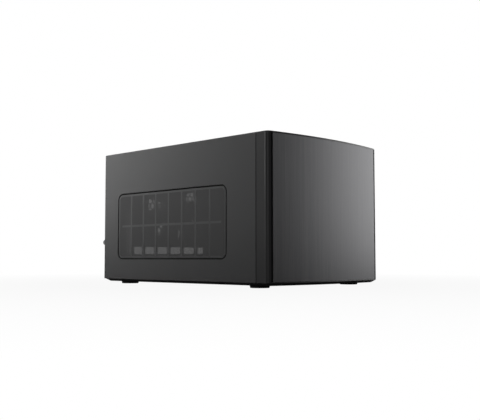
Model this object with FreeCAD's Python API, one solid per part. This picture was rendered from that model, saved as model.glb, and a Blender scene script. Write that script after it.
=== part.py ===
import FreeCAD, Part
import math
import os

# Small-form computer case, millimetres. +X is the case's right side, +Y its rear, +Z up.
# The origin is the middle of the whole object's footprint, on the surface it stands on.

V = FreeCAD.Vector
os.makedirs("parts", exist_ok=True)

# Outside of the case
case_width = 250.0
case_height = 210.0
case_depth = 374.0         # middle of the bowed front to the rear edge of the cover
front_bow = 12.0           # how far the middle of the front stands ahead of its corners
rear_reach = 12.0          # how far the card ledge stands out behind the cover
foot_height = 3.5
base_drop = 4.0            # height of the sloping rim below the cover
base_slope = 7.5           # width of that rim
bezel_depth = 21.3         # front corner to the seam with the cover
edge_radius = 2.0          # long top edges of cover and bezel
corner_radius = 8.0        # upright front corners, seen from above

# Sheet metal, mouldings and gaps
cover_sheet = 1.0
frame_sheet = 1.0
tray_sheet = 1.2
bezel_wall = 2.5
plate_sheet = 2.0          # aluminium front plate
glue_film = 0.1
seam_gap = 0.5             # cover to bezel
slide_gap = 0.4            # cover to what it slides past
seat_gap = 0.3             # pieces of different bodies that rest near each other

# Cover
flange_fold = 11.5         # width of the cover's folded rear edge
vent_front = 76.5          # front corner to the side window
vent_rear = 35.7           # side window to the rear edge of the cover
vent_low = 31.0            # cover's lower edge to the side window
vent_height = 105.0
vent_radius = 11.0
psu_vent_rows = 9
psu_vent_columns = 3
psu_vent_pitch = 8.0
psu_vent_slot = (40.0, 3.4)
psu_vent_web = 7.0

# Side filter
filter_gap = 2.2           # shadow gap round the filter in its window
filter_lip = 5.5           # how far the filter's flange reaches behind the sheet
filter_flange = 1.4
filter_rim = 3.0
filter_face = 0.7          # face of the filter stands this far into the window
filter_side_border = 9.0
filter_end_border = 6.0
filter_rib = 6.0
filter_rib_pitch = 30.0
filter_cross_rib = 4.0
mesh_sheet = 0.4

# Thumbscrews
thumb_head_radius = 4.6
thumb_head_length = 7.0
thumb_shank_radius = 1.75
thumb_shank_length = 6.0
thread_clearance = 0.05
screw_hole_clearance = 0.45
cover_screw_inset = 6.5    # from the outside of the cover
cover_screw_height = 66.5

# Front plate and the bezel's details
bezel_edge_width = 5.9     # upright strip of bezel beside the plate
plate_groove = 3.0         # dark groove beside the plate
groove_extra = 1.4
plate_top_strip = 2.4
plate_edge_gap = 0.3
plate_low = 1.3
bezel_intakes = 15
bezel_intake = (6.0, 10.0)
bezel_intake_pitch = 12.0
peg_radius = 3.0
peg_boss_radius = 5.0
peg_reach = 5.0
peg_clearance = 0.2
peg_side = 70.0
peg_below_field = 19.5     # fan field of the front frame to the lower pegs
peg_above_field = 21.0
port_setback = 7.6         # seam to the middle of the ports
post_low = 37.2
post_high_inset = 4.0

# Base tray
tray_wall_height = 16.5    # above the cover's lower edge
tray_rear_wall = 6.0
boss_height = 7.9          # pressed bosses under the motherboard
boss_base_radius = 7.4
boss_top_radius = 5.4
standoff_height = 6.5
standoff_flats = 5.5
standoff_thread = 1.45     # screw hole in the top
standoff_stud = 1.75

# Feet
foot_radius = 14.0
foot_taper = 1.0
foot_inset = 24.0          # side of the case to the foot's middle
foot_front = 36.5          # front corner to the front feet
foot_rear = 38.0           # rear edge of the cover to the rear feet
foot_screw_radius = 2.0
foot_screw_head = 4.0

# Motherboard
board_size = 170.0
board_left = -77.1
board_to_panel = 1.7
board_hole_side = 6.35
board_hole_pitch = 157.48
board_hole_rear_left = 10.16
board_hole_rear_right = 33.02
board_hole_front = 165.1
io_width = 158.75
io_height = 44.45
io_left = -66.0
io_drop = 3.8              # lower edge of the opening below the underside of the board

# Expansion slots
slot_pitch = 20.32
slot_first = -78.9
slot_open_width = 13.0
slot_low = 22.0
slot_open_height = 99.0
slot_cover_width = 18.4
slot_cover_low = 13.9
slot_cover_sheet = 0.9
slot_tab_rise = 5.0        # above the slots' upper ends
slot_tab_length = 11.4
slot_dots = 18
slot_dot_pitch = 5.2
slot_dot_radius = 1.5

# Fans
fan_depth = 25.0
fan_wall = 1.4
front_fan_size = 92.0
front_fan_holes = 82.5
front_fan_gap = 10.0
front_fan_rise = 1.0       # middle of the fans above half the case's height
front_fan_blade_count = 9
front_hub_radius = 18.5
rear_fan_size = 140.0
rear_fan_holes = 124.5
rear_fan_x = 12.0
rear_fan_height = 131.0
rear_fan_blade_count = 7
rear_hub_radius = 22.0
fan_shaft_radius = 1.5
running_clearance = 0.05
blade_tip_gap = 1.2
fan_screw_radius = 1.9
grille_hex_flats = 8.0
grille_hex_web = 1.7

# Front frame
field_depth = 13.3         # how far the fan field stands ahead of the frame's rim
field_margin = 2.5         # round the fans
field_height = 112.0
front_filter_depth = 2.4
front_filter_stand = 1.9     # filter to the frame, past the screw heads
front_filter_border = 4.5
shelf_depth = 13.0
shelf_drop = 6.4           # top of the frame to the underside of the drive brackets' webs

# Rails and crossbar
rail_width = 10.0
rail_height = 14.0
top_gap = 0.6              # cover to the top of the frame
chassis_inset = 3.6        # side of the case to the rear panel's edge
crossbar_front = 190.5     # front corner to the crossbar
crossbar_width = 16.0
crossbar_height = 10.0

# Drive brackets
bracket_count = 3
bracket_width = 70.0
bracket_pitch = 74.0
bracket_sheet = 1.0
bracket_wall_length = 150.0
bracket_wall_height = 106.0
drive_hole_pitch_y = 44.45
drive_hole_pitch_z = 95.25
drive_hole_rear = 43.5     # rear edge of the wall to the first hole
drive_hole_top = 5.9       # underside of the web to the upper holes
grommet_radius = 4.5
grommet_bore = 2.0
grommet_neck = 3.4
grommet_lip = 1.3
bracket_head_length = 3.0
hook_width = 20.0
hook_setback = 5.0         # front frame's rim to the hooks of the brackets
hook_drop = 3.0
wall_window_width = 30.0
wall_window_margin = 13.0
wall_window_radius = 12.0
wall_slot_radius = 5.0
wall_slot_end = 10.0       # front edge of the wall to its first window
wall_slot_bar = 6.0
web_window = (36.0, 32.0)
web_window_first = 18.0
web_window_bar = 12.0
web_window_radius = 8.0

# Power supply bracket, for the usual 150 x 86 mm supply
psu_width = 150.0
psu_height = 86.0
psu_length = 160.0
psu_right = 100.0
psu_behind_fans = 0.7
psu_pad_height = 5.1
psu_pad_width = 7.0
psu_screw_radius = 2.0
psu_holes = ((6.0, 80.0), (144.0, 80.0), (6.0, 16.0), (120.0, 6.0))
psu_plate_margin = 4.0
psu_plate_rise = 1.5       # keeps the plate's top below the drives
psu_foot_fold = 13.0

# Intake filter under the power supply
intake_left = -44.0
intake_front = 52.6        # front corner to the channel
intake_width = 121.0
intake_channel = 2.6
intake_tongue = 3.0
intake_lip = 1.1
intake_filter_sheet = 2.2
intake_rows = 11
intake_row_pitch = 9.6
intake_slot = (52.0, 5.0)
intake_slot_web = 6.0

# Inlet socket for the mains lead
inlet_x = 100.5
inlet_z = 150.0
inlet_body = (20.0, 27.5)
inlet_flange = (22.5, 50.0)
inlet_flange_sheet = 2.5
inlet_depth = 21.0
inlet_screw_pitch = 40.0
inlet_mouth = (16.6, 24.6)
inlet_mouth_depth = 15.0
inlet_blade_recess = 4.5

# Fan speed switch
switch_x = -88.0
switch_rise = 26.0         # above the tabs of the slot covers
switch_slot = (10.0, 4.0)
switch_body = (16.0, 7.0, 6.0)
switch_knob = (3.4, 3.4)
switch_travel = 2.5

# Ports on the bezel's right side
port_button_z = 22.0
button_radius = 5.4
button_travel = 1.2
light_pipe_z = 32.0
light_pipe_radius = 1.2
usb_z = (47.0, 67.0)
usb_shell = (5.8, 13.1, 0.35)
jack_z = (83.0, 96.0)
jack_radius = 3.0
jack_bore = 1.8
board_sheet = 1.6
port_board_x = 103.4
port_board_low = 13.0
port_board_high = 110.0
port_clearance = 0.15
post_radius = 2.2

# Places worked out from the sizes above
x_side = case_width / 2
y_crown = -(case_depth + rear_reach) / 2
y_corner = y_crown + front_bow
y_rear = y_crown + case_depth
y_seam = y_corner + bezel_depth
z_pan = foot_height
z_skirt = z_pan + base_drop
z_top = case_height
bow_radius = (x_side ** 2 + front_bow ** 2) / (2 * front_bow)
bow_centre_y = y_crown + bow_radius
x_wall = x_side - cover_sheet - slide_gap
x_chassis = x_side - chassis_inset
z_frame_top = z_top - cover_sheet - top_gap
shelf_height = z_frame_top - shelf_drop
port_y = y_seam - port_setback
post_places = (post_low, port_board_high - post_high_inset)
y_rim = y_seam + seam_gap
y_rim_back = y_rim + frame_sheet
y_field = y_rim - field_depth
y_panel = y_rear - cover_sheet - seat_gap
y_panel_in = y_panel - frame_sheet
z_floor = z_pan + tray_sheet
z_board = z_floor + boss_height + standoff_height
y_board_rear = y_panel_in - board_to_panel
x_board_holes = (board_left + board_hole_side, board_left + board_hole_side + board_hole_pitch)
board_holes = (
    (x_board_holes[0], y_board_rear - board_hole_rear_left),
    (x_board_holes[1], y_board_rear - board_hole_rear_right),
    (x_board_holes[0], y_board_rear - board_hole_front),
    (x_board_holes[1], y_board_rear - board_hole_front),
)
z_io = z_board - io_drop
slot_tab_height = slot_low + slot_open_height + slot_tab_rise
switch_z = slot_tab_height + switch_rise
front_fan_height = case_height / 2 + front_fan_rise
vent_y = (y_corner + vent_front, y_rear - vent_rear)
vent_z = (z_skirt + vent_low, z_skirt + vent_low + vent_height)
y_fan = y_field + frame_sheet
front_fan_x = (front_fan_size + front_fan_gap) / 2
field_x = front_fan_x + front_fan_size / 2 + field_margin
field_z = (front_fan_height - field_height / 2, front_fan_height + field_height / 2)
peg_places = [(side * peg_side, z) for side in (-1, 1)
              for z in (field_z[0] - peg_below_field, field_z[1] + peg_above_field)]
y_rear_fan = y_panel_in - fan_depth
psu_y = y_fan + fan_depth + psu_behind_fans
psu_z = z_floor + psu_pad_height
intake_y = (y_corner + intake_front, y_corner + intake_front + intake_width)
intake_roof = z_pan + intake_channel
y_crossbar = y_corner + crossbar_front
bracket_y = (psu_y + 3.0, psu_y + 3.0 + bracket_wall_length)
bracket_places = [(i - (bracket_count - 1) / 2) * bracket_pitch for i in range(bracket_count)]
hook_y = y_rim_back + hook_setback
foot_places = [(side * (x_side - foot_inset), y) for side in (-1, 1)
               for y in (y_corner + foot_front, y_rear - foot_rear)]


# Planes: each turns two sizes on a flat drawing into a point in space
def on_xy(z):
    return lambda a, b: V(a, b, z)


def on_xz(y):
    return lambda a, b: V(a, y, b)


def on_yz(x):
    return lambda a, b: V(x, a, b)


# Basic forms
def block(x0, x1, y0, y1, z0, z1):
    return Part.makeBox(x1 - x0, y1 - y0, z1 - z0, V(x0, y0, z0))


def rod(radius, start, axis, length):
    return Part.makeCylinder(radius, length, start, axis)


def polygon(place, points):
    corners = [place(a, b) for a, b in points]
    return Part.makePolygon(corners + corners[:1])


def rectangle(place, a0, a1, b0, b1):
    return polygon(place, ((a0, b0), (a1, b0), (a1, b1), (a0, b1)))


def arc(place, a, b, radius, start, end):
    points = []
    for angle in (start, (start + end) / 2, end):
        points.append(place(a + radius * math.cos(angle), b + radius * math.sin(angle)))
    return Part.Arc(*points).toShape()


def circle(place, a, b, radius):
    return Part.Wire([arc(place, a, b, radius, 0, math.pi), arc(place, a, b, radius, math.pi, 2 * math.pi)])


def round_rectangle(place, a0, a1, b0, b1, radius):
    corners = ((a1 - radius, b1 - radius), (a0 + radius, b1 - radius),
               (a0 + radius, b0 + radius), (a1 - radius, b0 + radius))
    curves = [arc(place, a, b, radius, i * math.pi / 2, (i + 1) * math.pi / 2)
              for i, (a, b) in enumerate(corners)]
    edges = []
    for i, curve in enumerate(curves):
        after = curves[(i + 1) % 4]
        edges.append(curve)
        edges.append(Part.makeLine(curve.Vertexes[-1].Point, after.Vertexes[0].Point))
    return Part.Wire(edges)


def stadium(place, a0, a1, b, radius):
    right = arc(place, a1 - radius, b, radius, -math.pi / 2, math.pi / 2)
    left = arc(place, a0 + radius, b, radius, math.pi / 2, 3 * math.pi / 2)
    top = Part.makeLine(right.Vertexes[-1].Point, left.Vertexes[0].Point)
    low = Part.makeLine(left.Vertexes[-1].Point, right.Vertexes[0].Point)
    return Part.Wire([right, top, left, low])


def hexagon(place, a, b, flats, turn=0.0):
    radius = flats / math.sqrt(3)
    return polygon(place, [(a + radius * math.cos(turn + i * math.pi / 3),
                            b + radius * math.sin(turn + i * math.pi / 3)) for i in range(6)])


def solid(wires, thickness):
    """A flat sheet with holes: the first wire is the outline, thickness is a vector."""
    return Part.makeFace(wires, "Part::FaceMakerBullseye").extrude(thickness)


def join(first, *others):
    return first.fuse(list(others)).removeSplitter()


def save(name, shape):
    for piece in shape.Solids:
        if not piece.isValid():
            raise ValueError(name + " has a solid that isn't valid")
    if not shape.Solids:
        raise ValueError(name + " has no solid")
    if len(shape.Solids) == 1:
        shape = shape.Solids[0]
    shape.exportStep("parts/" + name + ".step")


# Cover: left side, top and right side in one folded sheet, with a folded rear edge
def arch(place, outset, foot):
    """Closed outline of the cover's section, moved inwards by outset, standing on foot."""
    half = x_side - outset
    top = z_top - outset
    radius = max(edge_radius - outset, 0.4)
    right = arc(place, half - radius, top - radius, radius, 0, math.pi / 2)
    left = arc(place, -half + radius, top - radius, radius, math.pi / 2, math.pi)
    return Part.Wire([
        Part.makeLine(place(half, foot), right.Vertexes[0].Point),
        right,
        Part.makeLine(right.Vertexes[-1].Point, left.Vertexes[0].Point),
        left,
        Part.makeLine(left.Vertexes[-1].Point, place(-half, foot)),
        Part.makeLine(place(-half, foot), place(half, foot)),
    ])


def cover_screw_places():
    side = x_side - cover_screw_inset
    return ((-side, cover_screw_height), (side, cover_screw_height), (0.0, z_top - cover_screw_inset))


def make_cover():
    length = y_rear - y_rim
    front = on_xz(y_rim)
    outside = solid([arch(front, 0, z_skirt)], V(0, length, 0))
    inside = solid([arch(front, cover_sheet, z_skirt - 1)], V(0, length - cover_sheet, 0))
    rear_opening = solid([arch(on_xz(y_rear - 2 * cover_sheet), flange_fold, z_skirt - 1)],
                         V(0, 3 * cover_sheet, 0))
    cover = outside.cut([inside, rear_opening])
    window = solid([round_rectangle(on_yz(-x_side - 1), *vent_y, *vent_z, vent_radius)],
                   V(cover_sheet + 2, 0, 0))
    cuts = [window]
    slot_length, slot_width = psu_vent_slot
    step = slot_length + psu_vent_web
    first_y = psu_y + psu_width / 2 - (psu_vent_columns * step - psu_vent_web) / 2
    first_z = psu_z + psu_height / 2 - (psu_vent_rows - 1) * psu_vent_pitch / 2
    for column in range(psu_vent_columns):
        for row in range(psu_vent_rows):
            start = first_y + column * step
            wire = stadium(on_yz(x_side - cover_sheet - 1), start, start + slot_length,
                           first_z + row * psu_vent_pitch, slot_width / 2)
            cuts.append(solid([wire], V(cover_sheet + 2, 0, 0)))
    for x, z in cover_screw_places():
        radius = thumb_shank_radius + screw_hole_clearance
        cuts.append(rod(radius, V(x, y_rear - cover_sheet - 1, z), V(0, 1, 0), cover_sheet + 2))
    return cover.cut(cuts)


def thumbscrew(place, axis, head_radius, head_length, shank_radius, shank_length):
    """Knurled head on a plain shank. place is where the head meets its seat."""
    head = Part.makeCylinder(head_radius, head_length * 0.75, V(0, 0, head_length * 0.25))
    neck = Part.makeCylinder(head_radius * 0.8, head_length * 0.25)
    shank = Part.makeCylinder(shank_radius, shank_length, V(0, 0, -shank_length))
    cross = [block(-head_radius * 0.6, head_radius * 0.6, -0.45, 0.45, head_length - 1.0, head_length + 1),
             block(-0.45, 0.45, -head_radius * 0.6, head_radius * 0.6, head_length - 1.0, head_length + 1)]
    screw = join(head, neck, shank).cut(cross)
    screw.Placement = FreeCAD.Placement(place, FreeCAD.Rotation(V(0, 0, 1), axis))
    return screw


def make_cover_thumbscrews():
    return Part.makeCompound([
        thumbscrew(V(x, y_rear, z), V(0, 1, 0), thumb_head_radius, thumb_head_length,
                   thumb_shank_radius, thumb_shank_length + cover_sheet + seat_gap)
        for x, z in cover_screw_places()])


# Side filter: a thin moulded frame behind the window, with ribs and a fine mesh
def side_filter_windows(place):
    y0 = vent_y[0] + filter_gap + filter_side_border
    y1 = vent_y[1] - filter_gap - filter_side_border
    z0 = vent_z[0] + filter_gap + filter_end_border
    z1 = vent_z[1] - filter_gap - filter_end_border
    middle = (y0 + y1) / 2
    count = int((y1 - y0 - filter_rib) / filter_rib_pitch)
    ribs = [middle + (i - (count - 1) / 2) * filter_rib_pitch for i in range(count)]
    edges = [y0] + [y + side * filter_rib / 2 for y in ribs for side in (-1, 1)] + [y1]
    z_middle = (z0 + z1) / 2
    rows = ((z0, z_middle - filter_cross_rib / 2), (z_middle + filter_cross_rib / 2, z1))
    wires = []
    for i in range(0, len(edges), 2):
        for low, high in rows:
            wires.append(round_rectangle(place, edges[i], edges[i + 1], low, high, 1.0))
    return wires


def make_side_filter():
    x_inside = -x_side + cover_sheet
    lip = filter_lip
    back = on_yz(x_inside + filter_flange)
    windows = side_filter_windows(back)
    flange = solid([round_rectangle(back, vent_y[0] - lip, vent_y[1] + lip, vent_z[0] - lip,
                                    vent_z[1] + lip, vent_radius + lip)] + windows, V(-filter_flange, 0, 0))
    face = on_yz(x_inside)
    outer = round_rectangle(face, vent_y[0] + filter_gap, vent_y[1] - filter_gap,
                            vent_z[0] + filter_gap, vent_z[1] - filter_gap, vent_radius - filter_gap)
    raised = solid([outer] + side_filter_windows(face), V(-filter_face, 0, 0))
    inset = filter_gap + filter_rim
    mesh = solid([round_rectangle(back, vent_y[0] + inset, vent_y[1] - inset, vent_z[0] + inset,
                                  vent_z[1] - inset, vent_radius - inset)], V(mesh_sheet, 0, 0))
    return join(flange, raised), mesh


# Front bezel: a moulded cap with a bowed front, rounded corners and a sloping underside
def front_outline(z, inset, back):
    place = on_xy(z)
    half = x_side - inset
    radius = corner_radius - inset
    reach = bow_radius - corner_radius
    corner_x = x_side - corner_radius
    corner_y = bow_centre_y - math.sqrt(reach ** 2 - corner_x ** 2)
    lean = math.atan2(bow_centre_y - corner_y, corner_x)
    right = arc(place, corner_x, corner_y, radius, -lean, 0)
    left = arc(place, -corner_x, corner_y, radius, math.pi, math.pi + lean)
    bow = arc(place, 0, bow_centre_y, bow_radius - inset, math.pi + lean, 2 * math.pi - lean)
    return Part.Wire([
        left, bow, right,
        Part.makeLine(right.Vertexes[-1].Point, place(half, back)),
        Part.makeLine(place(half, back), place(-half, back)),
        Part.makeLine(place(-half, back), left.Vertexes[0].Point),
    ])


def bowed_core(inset, z0, z1):
    """Everything behind the front's curve, moved back by inset."""
    return Part.makeCylinder(bow_radius - inset, z1 - z0, V(0, bow_centre_y, z0))


def make_front_bezel():
    upper = solid([front_outline(z_skirt, 0, y_seam)], V(0, 0, z_top - z_skirt))
    rounded = []
    for edge in upper.Edges:
        middle = edge.BoundBox
        if middle.ZMin > z_top - 0.01 and middle.YMin < y_seam - 0.01:
            rounded.append(edge)
    upper = upper.makeFillet(edge_radius, rounded)
    lower = Part.makeLoft([front_outline(z_pan, base_slope, y_seam), front_outline(z_skirt, 0, y_seam)],
                          True, True)
    bezel = join(upper, lower)
    bed = plate_sheet + glue_film
    front_wall = bed + bezel_wall
    hollow = solid([front_outline(z_skirt + 1, bezel_wall, y_seam + 1)],
                   V(0, 0, z_top - bezel_wall - z_skirt - 1))
    hollow = hollow.common(bowed_core(front_wall, z_skirt, z_top))
    base_in = base_slope + bezel_wall
    sump = block(-x_side + base_in, x_side - base_in, y_crown, y_seam + 1, z_pan + bezel_wall, z_skirt + 2)
    sump = sump.common(bowed_core(base_in + 2, z_pan, z_skirt + 3))
    x_bed = x_side - bezel_edge_width
    z_bed = (z_skirt + plate_low - plate_edge_gap, z_top - plate_top_strip)
    recess = block(-x_bed, x_bed, y_crown - 1, y_corner + corner_radius, *z_bed)
    grooves = [block(*sorted((side * x_bed, side * (x_bed - plate_groove))), y_crown - 1,
                     y_corner + corner_radius, *z_bed) for side in (-1, 1)]
    groove_cut = grooves[0].fuse(grooves[1]).cut(bowed_core(bed + groove_extra, z_pan, z_top))
    recess = recess.cut(bowed_core(bed, z_pan, z_top))
    cuts = [hollow, sump, recess, groove_cut]
    for i in range(bezel_intakes):
        x = (i - (bezel_intakes - 1) / 2) * bezel_intake_pitch
        wire = round_rectangle(on_xy(z_pan - 1), x - bezel_intake[0] / 2, x + bezel_intake[0] / 2,
                               y_seam - 3 - bezel_intake[1], y_seam - 3, 1.5)
        cuts.append(solid([wire], V(0, 0, bezel_wall + 2)))
    bezel = bezel.cut(cuts)
    inner = y_crown
    added = []
    for x, z in peg_places:
        boss = rod(peg_boss_radius, V(x, inner, z), V(0, 1, 0), y_rim - seat_gap - inner)
        peg = rod(peg_radius, V(x, inner, z), V(0, 1, 0), y_rim_back + peg_reach - inner)
        added.append(boss.fuse(peg).common(bowed_core(front_wall - 0.5, z_pan, z_top)))
    x_inner = x_side - bezel_wall
    post_start = port_board_x + board_sheet
    for z in post_places:
        added.append(rod(post_radius, V(post_start, port_y, z), V(1, 0, 0), x_inner - post_start + 0.5))
    bezel = join(bezel, *added)
    holes = []
    place = on_yz(x_inner - 1)
    through = V(bezel_wall + 2, 0, 0)
    width, height, _ = usb_shell
    for z in usb_z:
        holes.append(solid([rectangle(place, port_y - width / 2 - port_clearance,
                                      port_y + width / 2 + port_clearance,
                                      z - height / 2 - port_clearance,
                                      z + height / 2 + port_clearance)], through))
    for z in jack_z:
        holes.append(solid([circle(place, port_y, z, jack_radius + port_clearance)], through))
    holes.append(solid([circle(place, port_y, port_button_z, button_radius + port_clearance)], through))
    holes.append(solid([circle(place, port_y, light_pipe_z, light_pipe_radius + port_clearance)], through))
    return bezel.cut(holes)


def make_front_plate():
    x_plate = x_side - bezel_edge_width - plate_groove
    sheet = block(-x_plate, x_plate, y_crown - 1, y_corner + corner_radius,
                  z_skirt + plate_low, z_top - plate_top_strip - plate_edge_gap)
    return sheet.common(bowed_core(0, z_pan, z_top)).cut(bowed_core(plate_sheet, z_pan - 1, z_top + 1))


# Ports on their circuit board, and the power button with its switch
def make_ports():
    board_top = port_board_x + board_sheet
    board = block(port_board_x, board_top, port_y - 7.5, port_y + 5.5, port_board_low, port_board_high)
    width, height, sheet = usb_shell
    shells = []
    tongues = []
    for z in usb_z:
        shell = block(board_top, x_side - 0.3, port_y - width / 2, port_y + width / 2,
                      z - height / 2, z + height / 2)
        mouth = block(board_top + 2, x_side, port_y - width / 2 + sheet, port_y + width / 2 - sheet,
                      z - height / 2 + sheet, z + height / 2 - sheet)
        shells.append(shell.cut(mouth))
        tongues.append(block(board_top + 2, x_side - 1.5, port_y + 0.2, port_y + 2.0,
                             z - height / 2 + 1, z + height / 2 - 1))
    jacks = []
    for z in jack_z:
        body = block(board_top, x_side - bezel_wall - seat_gap, port_y - 4.0, port_y + 4.0, z - 4.5, z + 4.5)
        nose = rod(jack_radius, V(board_top + 1, port_y, z), V(1, 0, 0), x_side - 0.2 - board_top - 1)
        bore = rod(jack_bore, V(board_top + 3, port_y, z), V(1, 0, 0), x_side - board_top)
        jacks.append(join(body, nose).cut(bore))
    flange_face = x_side - bezel_wall - seat_gap
    stem_end = board_top + 5.6
    switch = join(block(board_top, board_top + 3.2, port_y - 3, port_y + 3, port_button_z - 3,
                        port_button_z + 3),
                  rod(1.7, V(board_top + 3, port_y, port_button_z), V(1, 0, 0), stem_end - board_top
                      - 3 - button_travel - seat_gap))
    cap = rod(button_radius, V(flange_face - 1, port_y, port_button_z), V(1, 0, 0),
              x_side - flange_face + 1)
    cap = cap.makeFillet(0.5, [edge for edge in cap.Edges if edge.BoundBox.XMin > x_side - 0.01])
    button = join(cap,
                  rod(button_radius + 1.2, V(flange_face - 1.2, port_y, port_button_z), V(1, 0, 0), 1.2),
                  rod(2.0, V(stem_end, port_y, port_button_z), V(1, 0, 0), flange_face - stem_end))
    pipe = rod(light_pipe_radius, V(board_top, port_y, light_pipe_z), V(1, 0, 0),
               x_side - 0.2 - board_top)
    return board, shells, tongues, jacks, switch, button, pipe


# Base tray: one pressed sheet with a sloping rim, upright walls and bosses for the motherboard
def tray_rim(z, grow):
    """Outline of the tray; grow is 0 at the flat floor and 1 at the top of the slope."""
    side = x_side - base_slope + grow * (x_wall - x_side + base_slope)
    rear = y_rear - base_slope + grow * (y_panel_in - y_rear + base_slope)
    return side, rear, z


def tray_solid(thinner):
    """The tray's outside as a full block, or the space inside it when thinner is the sheet."""
    low = tray_rim(z_pan + thinner, 0)
    high = tray_rim(z_skirt - 0.2 + thinner * 0.4, 1)
    front = y_rim_back + thinner
    lean = thinner * 0.2
    bottom = rectangle(on_xy(low[2]), -low[0] + lean, low[0] - lean, front, low[1] - lean)
    middle = rectangle(on_xy(high[2]), -high[0] + thinner, high[0] - thinner, front, high[1] - thinner)
    dish = Part.makeLoft([bottom, middle], True, True)
    walls = block(-high[0] + thinner, high[0] - thinner, front, high[1] - thinner, high[2],
                  z_skirt + tray_wall_height + thinner)
    return dish.fuse(walls)


def make_base_tray():
    tray = tray_solid(0).cut(tray_solid(tray_sheet))
    x_bay = x_side - 2 * base_slope
    tray = tray.cut(block(-x_bay, x_bay, y_panel_in - 3 * tray_sheet, y_panel_in + 1,
                          z_skirt + tray_rear_wall, z_skirt + tray_wall_height + 5))
    y0, y1 = intake_y
    roof_top = intake_roof + tray_sheet
    outer = block(intake_left - tray_sheet, x_wall, y0 - tray_sheet, y1 + tray_sheet, z_pan, roof_top)
    channel = block(intake_left, x_side + 1, y0, y1, z_pan - 1, intake_roof)
    lips = [block(intake_left, x_side - base_slope, y0, y0 + intake_tongue, z_pan, z_pan + intake_lip),
            block(intake_left, x_side - base_slope, y1 - intake_tongue, y1, z_pan, z_pan + intake_lip)]
    tray = tray.fuse(outer.common(tray_solid(0))).cut(channel)
    tray = tray.fuse(lips)
    slot_length, slot_width = intake_slot
    cuts = []
    x_first = psu_right - psu_length / 2 - slot_length - intake_slot_web / 2
    for column in range(2):
        start = x_first + column * (slot_length + intake_slot_web)
        for row in range(intake_rows):
            y = (y0 + y1) / 2 + (row - (intake_rows - 1) / 2) * intake_row_pitch
            wire = stadium(on_xy(intake_roof - 1), start, start + slot_length, y, slot_width / 2)
            cuts.append(solid([wire], V(0, 0, tray_sheet + 2)))
    bosses = []
    for x, y in board_holes:
        bosses.append(Part.makeCone(boss_base_radius, boss_top_radius, boss_height, V(x, y, z_floor)))
        cuts.append(Part.makeCone(boss_base_radius - tray_sheet, boss_top_radius - tray_sheet, boss_height,
                                  V(x, y, z_pan)))
        cuts.append(rod(standoff_stud + thread_clearance, V(x, y, z_floor), V(0, 0, 1), boss_height + 1))
    for x, y in foot_places:
        cuts.append(rod(foot_screw_radius + thread_clearance, V(x, y, z_pan - 1), V(0, 0, 1), tray_sheet + 2))
    return tray.fuse(bosses).cut(cuts).removeSplitter()


def make_feet():
    feet = []
    screws = []
    seat = 1.7
    for x, y in foot_places:
        foot = Part.makeCone(foot_radius - foot_taper, foot_radius, z_pan, V(x, y, 0))
        recess = rod(foot_screw_head + 1.5, V(x, y, -1), V(0, 0, 1), 1 + seat)
        hole = rod(foot_screw_radius + thread_clearance, V(x, y, 0), V(0, 0, 1), z_pan + 1)
        feet.append(foot.cut([recess, hole]))
        head = rod(foot_screw_head, V(x, y, seat - 1.2), V(0, 0, 1), 1.2)
        shank = rod(foot_screw_radius, V(x, y, seat - 0.1), V(0, 0, 1), z_floor + 0.1 - seat)
        screws.append(join(head, shank))
    return feet, Part.makeCompound(screws)


def make_standoffs():
    pieces = []
    for x, y in board_holes:
        low = z_floor + boss_height
        body = solid([hexagon(on_xy(low), x, y, standoff_flats)], V(0, 0, standoff_height))
        stud = rod(standoff_stud, V(x, y, low - tray_sheet - 3), V(0, 0, 1), tray_sheet + 3.5)
        bore = rod(standoff_thread, V(x, y, low + 1.5), V(0, 0, 1), standoff_height)
        pieces.append(join(body, stud).cut(bore))
    return Part.makeCompound(pieces)


# Filter that slides out from under the power supply, to the right
def make_intake_filter():
    y0, y1 = intake_y
    gap = seat_gap
    high = intake_roof - gap
    x0 = intake_left + gap
    x1 = x_side - base_slope + 4.0
    upper = block(x0, x1, y0 + gap, y1 - gap, z_pan + intake_lip + gap, high)
    inner = intake_tongue + gap
    lower = block(x0, x1, y0 + inner, y1 - inner, z_pan + 0.1, high)
    frame = join(upper, lower)
    border = inner + 4.0
    columns = 4
    rows = 3
    span_x = (x1 - 14.0 - x0 - border + gap) / columns
    span_y = (y1 - y0 - 2 * border) / rows
    rib = 4.0
    windows = []
    for i in range(columns):
        for j in range(rows):
            wx = x0 + border - gap + i * span_x
            wy = y0 + border + j * span_y
            wire = round_rectangle(on_xy(z_pan - 1), wx + rib / 2, wx + span_x - rib / 2, wy + rib / 2,
                                   wy + span_y - rib / 2, 2.0)
            windows.append(solid([wire], V(0, 0, intake_channel + 3)))
    bed = block(x0 + border - 3, x1 - 11.0, y0 + border - 2, y1 - border + 2, high - mesh_sheet, high + 1)
    mesh = block(x0 + border - 3, x1 - 11.0, y0 + border - 2, y1 - border + 2, high - mesh_sheet, high)
    return frame.cut(windows + [bed]), mesh


# Front frame: a pressed panel whose raised field carries two fans
def fan_hole_places(size_x, z, pitch):
    return [(size_x + i * pitch / 2, z + j * pitch / 2) for i in (-1, 1) for j in (-1, 1)]


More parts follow.
